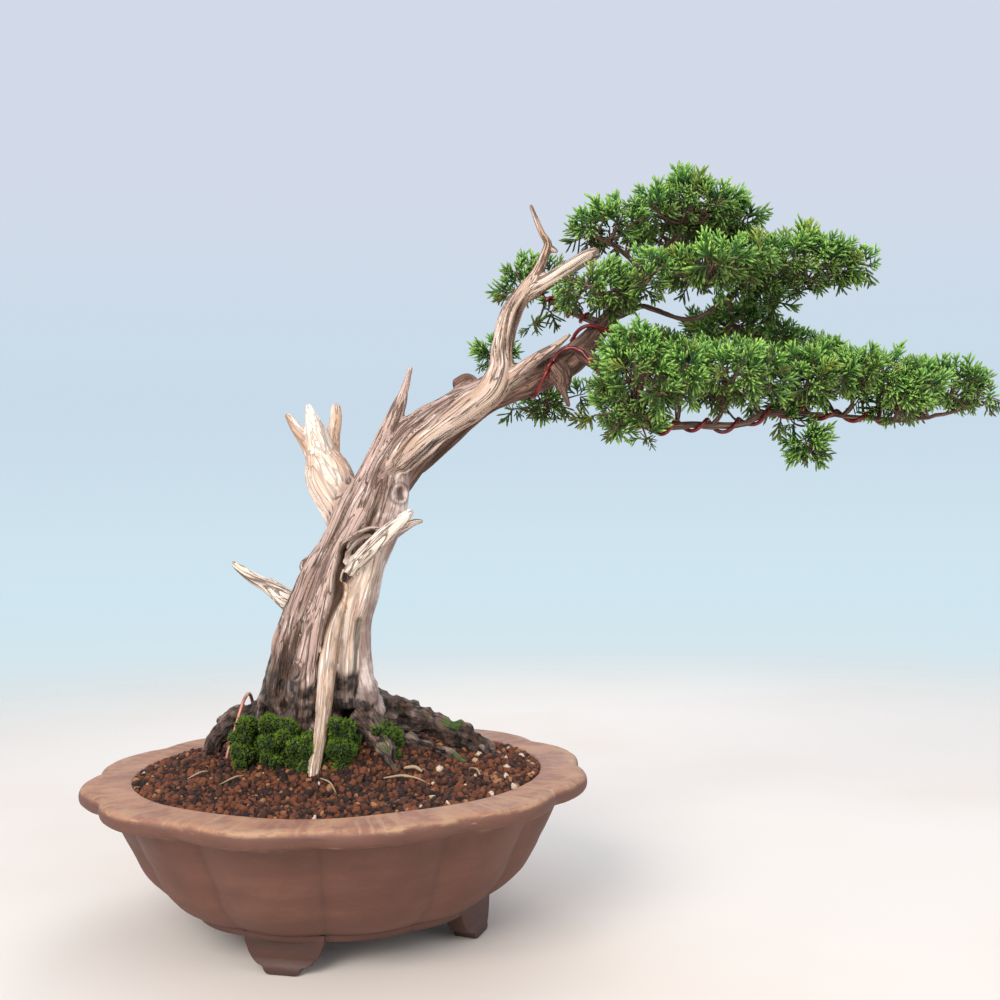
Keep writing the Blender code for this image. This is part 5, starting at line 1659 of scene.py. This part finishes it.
def ground_finish(settings):
    """A pale floor that gives way to the sky far from the pot."""
    made, tree, shader = new_finish("pale_floor", 0.9)
    where = own_place(tree)
    length = add(tree, "ShaderNodeVectorMath", {0: where}, operation="LENGTH").outputs["Value"]
    cloud = speckle(tree, where, 2.5, 3.0, 0.5)
    base = mix(tree, span(tree, cloud, 0.4, 0.8), settings.floor, settings.floor_warm)
    tree.links.new(base, shader.inputs["Base Color"])
    tree.links.new(span(tree, length, 0.55, 1.7, 1.0, 0.0), shader.inputs["Alpha"])
    return made


def build_sky(settings):
    """A sky that goes from pale warm at the floor to soft blue above."""
    world = bpy.data.worlds.new("soft_sky")
    bpy.context.scene.world = world
    world.use_nodes = True
    tree = world.node_tree
    shader = tree.nodes["Background"]
    way = add(tree, "ShaderNodeTexCoord").outputs["Generated"]
    height = add(tree, "ShaderNodeSeparateXYZ", {0: way}).outputs[2]
    sky = mix(tree, span(tree, height, -0.24, -0.06), settings.ground_haze, settings.haze)
    sky = mix(tree, span(tree, height, -0.06, 0.1), sky, settings.sky_low)
    sky = mix(tree, span(tree, height, 0.1, 0.3), sky, settings.sky_high)
    tree.links.new(sky, shader.inputs["Color"])
    shader.inputs["Strength"].default_value = settings.sky_strength


def add_lamp(name, place, target, size, power, colour):
    data = bpy.data.lights.new(name, "AREA")
    data.shape = "DISK"
    data.size = size
    data.energy = power
    data.color = colour
    obj = bpy.data.objects.new(name, data)
    obj.location = place
    obj.rotation_euler = (Vector(target) - Vector(place)).to_track_quat("-Z", "Y").to_euler()
    bpy.context.scene.collection.objects.link(obj)


# Sizes and colours that a user would change.

def number(name, description, default, **limits):
    return bpy.props.FloatProperty(name=name, description=description, default=default, **limits)


def measure(name, description, default):
    return number(name, description, default, unit="LENGTH", precision=4)


def tint(name, description, default):
    return bpy.props.FloatVectorProperty(
        name=name, description=description, default=default, subtype="COLOR_GAMMA", min=0, max=1
    )


class BonsaiPotSettings(bpy.types.PropertyGroup):
    """The clay of the pot."""

    body: tint("Body", "Colour of the clay body", (0.38, 0.232, 0.182))
    body_light: tint("Body light", "Lighter clay in smears", (0.435, 0.285, 0.228))
    body_dark: tint("Body dark", "Darker clay in patches", (0.3, 0.175, 0.135))
    rim: tint("Rim", "Dusty top of the rim", (0.56, 0.38, 0.305))
    rim_tan: tint("Rim tan", "Tan stains along the rim", (0.67, 0.49, 0.375))
    wear: tint("Wear", "Rubbed edges", (0.7, 0.55, 0.42))
    # Painted shade in the groove, the lobe creases and on the feet.
    soot: tint("Painted shade", "Dark lines and the worn undersides of the feet", (0.15, 0.105, 0.095))
    specks: tint("Specks", "Pale grit in the clay", (0.64, 0.54, 0.47))


class BonsaiSoilSettings(bpy.types.PropertyGroup):
    """Loose grains over the soil."""

    spacing: measure("Spacing", "Distance between neighbouring grains", 0.0025)
    grain: measure("Grain", "Radius of a middling grain", 0.0021)
    red: tint("Red", "Common baked clay grains", (0.5, 0.275, 0.155))
    # Also the painted shade of the bed that shows between the grains.
    dark: tint("Dark", "Dark grains and the bed below", (0.115, 0.064, 0.042))
    tan: tint("Tan", "Scarce light grains", (0.68, 0.47, 0.31))
    pumice: tint("Pumice", "Pale pumice", (0.85, 0.79, 0.7))
    litter: tint("Litter", "Dried twigs and leaves", (0.62, 0.5, 0.34))


class BonsaiWoodSettings(bpy.types.PropertyGroup):
    """The trunk, roots and deadwood."""

    skin: measure("Skin", "Size of the faces on the trunk's skin", 0.00125)
    flutes: measure("Flutes", "Depth of the broad flutes", 0.0013)
    creases: measure("Creases", "Depth of the sharp creases", 0.0019)
    fibres: measure("Fibres", "Depth of the raised fibres", 0.00055)
    twist: number("Twist", "Turn of the grain for each metre along a limb", 5.0)
    bark: tint("Bark", "Greyed lilac bark", (0.77, 0.655, 0.61))
    bark_light: tint("Bark light", "Bleached threads in the bark", (0.93, 0.86, 0.82))
    bark_shadow: tint("Bark shadow", "Brown between the bark's threads", (0.5, 0.37, 0.32))
    column: tint("Column", "Smooth pink bark on the right", (0.6, 0.49, 0.465))
    cream: tint("Cream", "Bleached deadwood", (0.95, 0.875, 0.805))
    cream_light: tint("Cream light", "Brightest deadwood", (1, 0.985, 0.965))
    cream_shadow: tint("Cream shadow", "Tan in the deadwood", (0.77, 0.62, 0.5))
    pink: tint("Pink", "Pinkish patches in the deadwood", (0.88, 0.73, 0.66))
    live: tint("Live bark", "Brown flaking bark", (0.56, 0.43, 0.37))
    live_shadow: tint("Live bark shadow", "Deep brown in the live bark", (0.33, 0.225, 0.18))
    crack: tint("Crack", "Cracks along the grain", (0.33, 0.235, 0.18))
    # Painted shade in the hollows, grooves and knots.
    hollow: tint("Hollow", "Depth of the hollows", (0.27, 0.175, 0.105))
    # Also painted shade in the roots' pits.
    wet: tint("Wet", "Wet black wood at the foot", (0.105, 0.075, 0.06))
    wet_light: tint("Wet light", "Grey-brown on the wet wood", (0.37, 0.265, 0.2))
    green: tint("Green", "Thin moss on the roots", (0.29, 0.4, 0.13))


class BonsaiFoliageSettings(bpy.types.PropertyGroup):
    """Foliage pads and moss."""

    clump: measure("Clump", "Radius of one round clump in a pad", 0.013)
    spray: measure("Spray", "Length of one spray of shoots", 0.0132)
    shoot: measure("Shoot", "Radius of one shoot", 0.00072)
    spacing: measure("Spacing", "Distance between neighbouring sprays", 0.0027)
    lumps: bpy.props.IntProperty(name="Lumps", description="Lumps in each clump of moss", default=30, min=1)
    tuft: measure("Tuft", "Length of one tuft of moss", 0.0024)
    leaf: tint("Leaf", "Green of the shoots", (0.42, 0.64, 0.235))
    leaf_tip: tint("Leaf tip", "Bright growing tips", (0.73, 0.9, 0.42))
    leaf_base: tint("Leaf base", "Dark base of the shoots", (0.13, 0.275, 0.095))
    leaf_cool: tint("Leaf cool", "Cooler green of some sprays", (0.22, 0.48, 0.16))
    leaf_yellow: tint("Leaf yellow", "Yellowing sprays", (0.72, 0.72, 0.3))
    # Also the painted shade on the clumps' undersides.
    leaf_inner_and_shade: tint("Leaf inner", "Brown-green inside a pad", (0.32, 0.3, 0.11))
    moss: tint("Moss", "Green of the moss", (0.34, 0.46, 0.075))
    moss_light: tint("Moss light", "Bright moss", (0.56, 0.69, 0.17))
    # Painted shade in the moss's depths.
    moss_shade: tint("Moss dark", "Depth of the moss", (0.07, 0.1, 0.025))


class BonsaiWireSettings(bpy.types.PropertyGroup):
    """The wires."""

    training: measure("Training wire", "Radius of the red training wire", 0.0013)
    anchor: measure("Anchor wire", "Radius of the copper wire", 0.0011)
    tie: measure("Tie wire", "Radius of the steel tie-down wire", 0.001)
    clip: measure("Clip wire", "Radius of the drain mesh's clip", 0.0007)
    red: tint("Red", "Oxblood of the training wire", (0.5, 0.08, 0.075))
    copper: tint("Copper", "Rosy copper", (0.76, 0.52, 0.45))
    steel: tint("Steel", "Plain steel", (0.62, 0.61, 0.59))


class BonsaiStageSettings(bpy.types.PropertyGroup):
    """Floor, sky and lamps."""

    floor: tint("Floor", "Pale floor", (0.9, 0.865, 0.825))
    floor_warm: tint("Floor warm", "Warmer clouds on the floor", (0.88, 0.83, 0.78))
    ground_haze: tint("Ground haze", "Cream below the horizon", (0.925, 0.915, 0.89))
    haze: tint("Haze", "Pale blue at the horizon", (0.815, 0.9, 0.94))
    sky_low: tint("Sky low", "Blue above the horizon", (0.79, 0.86, 0.915))
    sky_high: tint("Sky high", "Lilac blue higher up", (0.825, 0.855, 0.915))
    sky_strength: number("Sky strength", "Brightness of the sky", 1.0, min=0)
    key_power: number("Key power", "Power of the main lamp", 31.0, min=0, unit="POWER")
    fill_power: number("Fill power", "Power of the fill and back lamps", 9.0, min=0, unit="POWER")


SETTINGS = {
    "bonsai_pot": BonsaiPotSettings, "bonsai_soil": BonsaiSoilSettings, "bonsai_wood": BonsaiWoodSettings,
    "bonsai_foliage": BonsaiFoliageSettings, "bonsai_wires": BonsaiWireSettings,
    "bonsai_stage": BonsaiStageSettings,
}


# One operator for each piece or group of like pieces.

class BONSAI_OT_stage(bpy.types.Operator):
    """Lay the floor, the sky, the lamps and the camera"""

    bl_idname = "bonsai.stage"
    bl_label = "Stage"

    def execute(self, context):
        settings = context.scene.bonsai_stage
        points, faces = turned([ring_of(radius, 0.0, round_turns(96)) for radius in (0.5, 2.0, 12.0)], False)
        faces.append(tuple(range(96)))
        floor = add_piece("floor", points + (0, 0, -0.0002), faces, ground_finish(settings))
        face_up(floor)
        build_sky(settings)
        target = (0.0, 0.0, 0.22)
        add_lamp("key_lamp", (-0.75, -1.45, 1.1), target, 1.1, settings.key_power, (1.0, 0.95, 0.89))
        add_lamp("fill_lamp", (1.3, -1.1, 0.8), target, 1.2, settings.fill_power, (0.95, 0.97, 1.0))
        add_lamp("back_lamp", (0.2, 1.2, 1.3), target, 1.2, settings.fill_power, (0.97, 0.98, 1.0))
        data = bpy.data.cameras.new("camera")
        data.sensor_width = SENSOR_WIDTH
        data.lens = LENS_FOCAL
        data.clip_end = 60.0
        camera = bpy.data.objects.new("camera", data)
        place = Matrix.Translation(Vector(CAMERA_PLACE) + POT_AXIS)
        turned_down = Matrix.Rotation(CAMERA_TILT, 4, "X")
        camera.matrix_world = place @ turned_down @ Matrix.Rotation(CAMERA_ROLL, 4, "Z")
        context.scene.collection.objects.link(camera)
        context.scene.camera = camera
        context.scene.view_settings.view_transform = "Standard"
        return {"FINISHED"}


class BONSAI_OT_pot(bpy.types.Operator):
    """Turn the lobed clay pot and join its cloud feet"""

    bl_idname = "bonsai.pot"
    bl_label = "Pot"

    def execute(self, context):
        pot = make_pot(clay_finish(context.scene.bonsai_pot))
        ride(pot, "fired_clay", "pot")
        return {"FINISHED"}


class BONSAI_OT_drain(bpy.types.Operator):
    """Finish the plastic mesh over the drain hole"""

    bl_idname = "bonsai.drain"
    bl_label = "Drain mesh"

    def execute(self, context):
        node = frame["nodes"]["drain_mesh"]
        node.data.materials.clear()
        node.data.materials.append(plastic_finish())
        return {"FINISHED"}


class BONSAI_OT_soil(bpy.types.Operator):
    """Fill the pot with soil and cover it with loose grains and litter"""

    bl_idname = "bonsai.soil"
    bl_label = "Soil"

    def execute(self, context):
        settings = context.scene.bonsai_soil
        red = grain_finish("baked_grains", settings.dark, settings.red, settings.tan, 0.92)
        pale = grain_finish("pumice", settings.tan, settings.pumice, settings.pumice, 0.9)
        bed = make_soil_bed(red)
        ride(bed, "soil_grains", "soil")
        shapes = shape_set("grains", [pebble(10 + k, 0.62 + 0.06 * k) for k in range(6)])

        def outside(points):
            return lengths(points[:, :2]) > TRUNK_FOOT_RADIUS

        size = settings.grain
        layers = (
            ("grains_first_layer", 5, settings.spacing, 0.45, 1.15),
            ("grains_second_layer", 6, settings.spacing * 1.7, 0.9, 1.75),
        )
        for name, seed, spacing, least, most in layers:
            ground = soil_ground(outside)
            grains = scatter(name, ground, shapes, red, spacing, size * least, size * most, 1.5, 0.0, seed)
            ride(grains, "soil_grains")

        def right_front(points):
            return (points[:, 0] > 0.055) & (points[:, 1] < 0.04) & outside(points)

        ground = soil_ground(right_front)
        apart = size * 8.5
        bits = scatter("pumice_bits", ground, shapes, pale, apart, size * 0.8, size * 1.7, 1.5, 0.0, 9)
        ground = soil_ground(outside)
        apart = size * 16
        strays = scatter("pumice_strays", ground, shapes, pale, apart, size * 0.7, size * 1.4, 1.5, 0.0, 11)
        ride(strays, "soil_grains")
        points = points_of(bits)
        points[:, 2] += size * 0.5
        move_points(bits, points)
        ride(bits, "soil_grains")
        clear_set(shapes)
        parts = []
        for number, (*ends, radius) in enumerate(LITTER):
            ends = [np.array((*place, soil_height(*place) + LITTER_LIFT)) for place in (ends[:2], ends[2:])]
            start, end = ends
            middle = (start + end) / 2 + (0.0012, 0.0008, 0.0014)
            line = route_of([start, middle, end], 5)
            parts.append(twig(line, radius * np.sin(np.linspace(0.5, 2.7, len(line))), 7, number)[:2])
        dry = grain_finish("litter", settings.litter, settings.pumice, settings.dark, 0.85)
        litter = add_piece("soil_litter", *joined(parts), dry)
        store_all(litter, shade=0.3)
        ride(litter, "bark_and_deadwood")
        return {"FINISHED"}


class BONSAI_OT_wood(bpy.types.Operator):
    """Grow the trunk, the roots, the deadwood and the live branches"""

    bl_idname = "bonsai.wood"
    bl_label = "Trunk and branches"

    def execute(self, context):
        settings = context.scene.bonsai_wood
        finish = wood_finish(settings)
        ride(make_wood(settings, finish), "bark_and_deadwood", "trunk")
        ride(make_branches(finish), "bark_and_deadwood")
        return {"FINISHED"}


class BONSAI_OT_foliage(bpy.types.Operator):
    """Fill every pad with sprays of scale leaves on their twigs"""

    bl_idname = "bonsai.foliage"
    bl_label = "Foliage"

    def execute(self, context):
        settings = context.scene.bonsai_foliage
        pieces, twigs = make_pads(settings, leaf_finish(settings), bpy.data.materials["weathered_wood"])
        for obj, node in pieces:
            ride(obj, "foliage", node)
        ride(twigs, "bark_and_deadwood")
        return {"FINISHED"}


class BONSAI_OT_moss(bpy.types.Operator):
    """Grow the moss over the roots"""

    bl_idname = "bonsai.moss"
    bl_label = "Moss"

    def execute(self, context):
        settings = context.scene.bonsai_foliage
        for tufts, hump, node in make_moss(settings, moss_finish(settings)):
            ride(tufts, "moss", node)
            ride(hump, "moss", node)
        return {"FINISHED"}


class BONSAI_OT_wires(bpy.types.Operator):
    """Wind the training wires and lay the anchor, tie-down and clip wires"""

    bl_idname = "bonsai.wires"
    bl_label = "Wires"

    def execute(self, context):
        settings = context.scene.bonsai_wires
        trunk = bpy.data.objects["trunk_wood"]
        corners = [v.co for v in trunk.data.vertices]
        skin = BVHTree.FromPolygons(corners, [face.vertices for face in trunk.data.polygons])
        red = metal_finish("oxblood_wire", settings.red, (0.3, 0.05, 0.05), 0.35, 0.26, 0.4)
        copper = metal_finish("rosy_copper", settings.copper, (0.56, 0.38, 0.33), 0.55, 0.42, 0.0)
        steel = metal_finish("plain_steel", settings.steel, (0.43, 0.415, 0.395), 0.9, 0.36, 0.0)
        size = settings.training
        lower = seated(route_of(LOWER_WIRE_START, 8), skin, size + WIRE_GAP)
        lower = np.vstack([lower, coil("lower_branch", 0.12, 0.8, 11, lower[-1], size)])
        upper = seated(route_of(UPPER_WIRE_ROUTE, 8), skin, size + WIRE_GAP)
        back = coil("back_left_branch", 0.22, 0.85, 4, Vector(BACK_WIRE_START) + POT_AXIS, size)
        anchor = seated(route_of(ANCHOR_ROUTE, 8), skin, settings.anchor + WIRE_GAP)
        for name, centres, radius, finish, slot in (
            ("training_wire_lower", lower, size, red, "training_wire"),
            ("training_wire_upper", upper, size, red, "training_wire"),
            ("training_wire_back", back, size, red, "training_wire"),
            ("root_anchor_wire", anchor, settings.anchor, copper, "copper_wire"),
            ("tie_down_wire", route_of(TIE_ROUTE, 6), settings.tie, steel, "steel_wire"),
            ("mesh_clip_wire", route_of(clip_route(), 4), settings.clip, steel, "steel_wire"),
        ):
            obj = add_wire(name + "_smooth", centres, radius, finish)
            ride(obj, slot, name)
        return {"FINISHED"}


OPERATORS = (
    BONSAI_OT_stage, BONSAI_OT_pot, BONSAI_OT_drain, BONSAI_OT_soil, BONSAI_OT_wood, BONSAI_OT_foliage,
    BONSAI_OT_moss, BONSAI_OT_wires,
)


class BONSAI_PT_panel(bpy.types.Panel):
    """The steps that build the bonsai, with the sizes and colours of each"""

    bl_idname = "BONSAI_PT_panel"
    bl_label = "Juniper Bonsai"
    bl_space_type = "VIEW_3D"
    bl_region_type = "UI"
    bl_category = "Bonsai"

    def draw(self, context):
        layout = self.layout
        for operator in OPERATORS:
            layout.operator(operator.bl_idname)
        for name in SETTINGS:
            box = layout.box()
            settings = getattr(context.scene, name)
            box.label(text=settings.bl_rna.name)
            for key in settings.bl_rna.properties.keys():
                if key not in ("rna_type", "name"):
                    box.prop(settings, key)


def register():
    for kind in (*SETTINGS.values(), *OPERATORS, BONSAI_PT_panel):
        bpy.utils.register_class(kind)
    for name, kind in SETTINGS.items():
        setattr(bpy.types.Scene, name, bpy.props.PointerProperty(type=kind))


def unregister():
    for name in SETTINGS:
        delattr(bpy.types.Scene, name)
    for kind in (BONSAI_PT_panel, *reversed(OPERATORS), *reversed(SETTINGS.values())):
        bpy.utils.unregister_class(kind)


def main():
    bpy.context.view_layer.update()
    register()
    for operator in OPERATORS:
        family, verb = operator.bl_idname.split(".")
        getattr(getattr(bpy.ops, family), verb)()


if __name__ == "__main__":
    main()
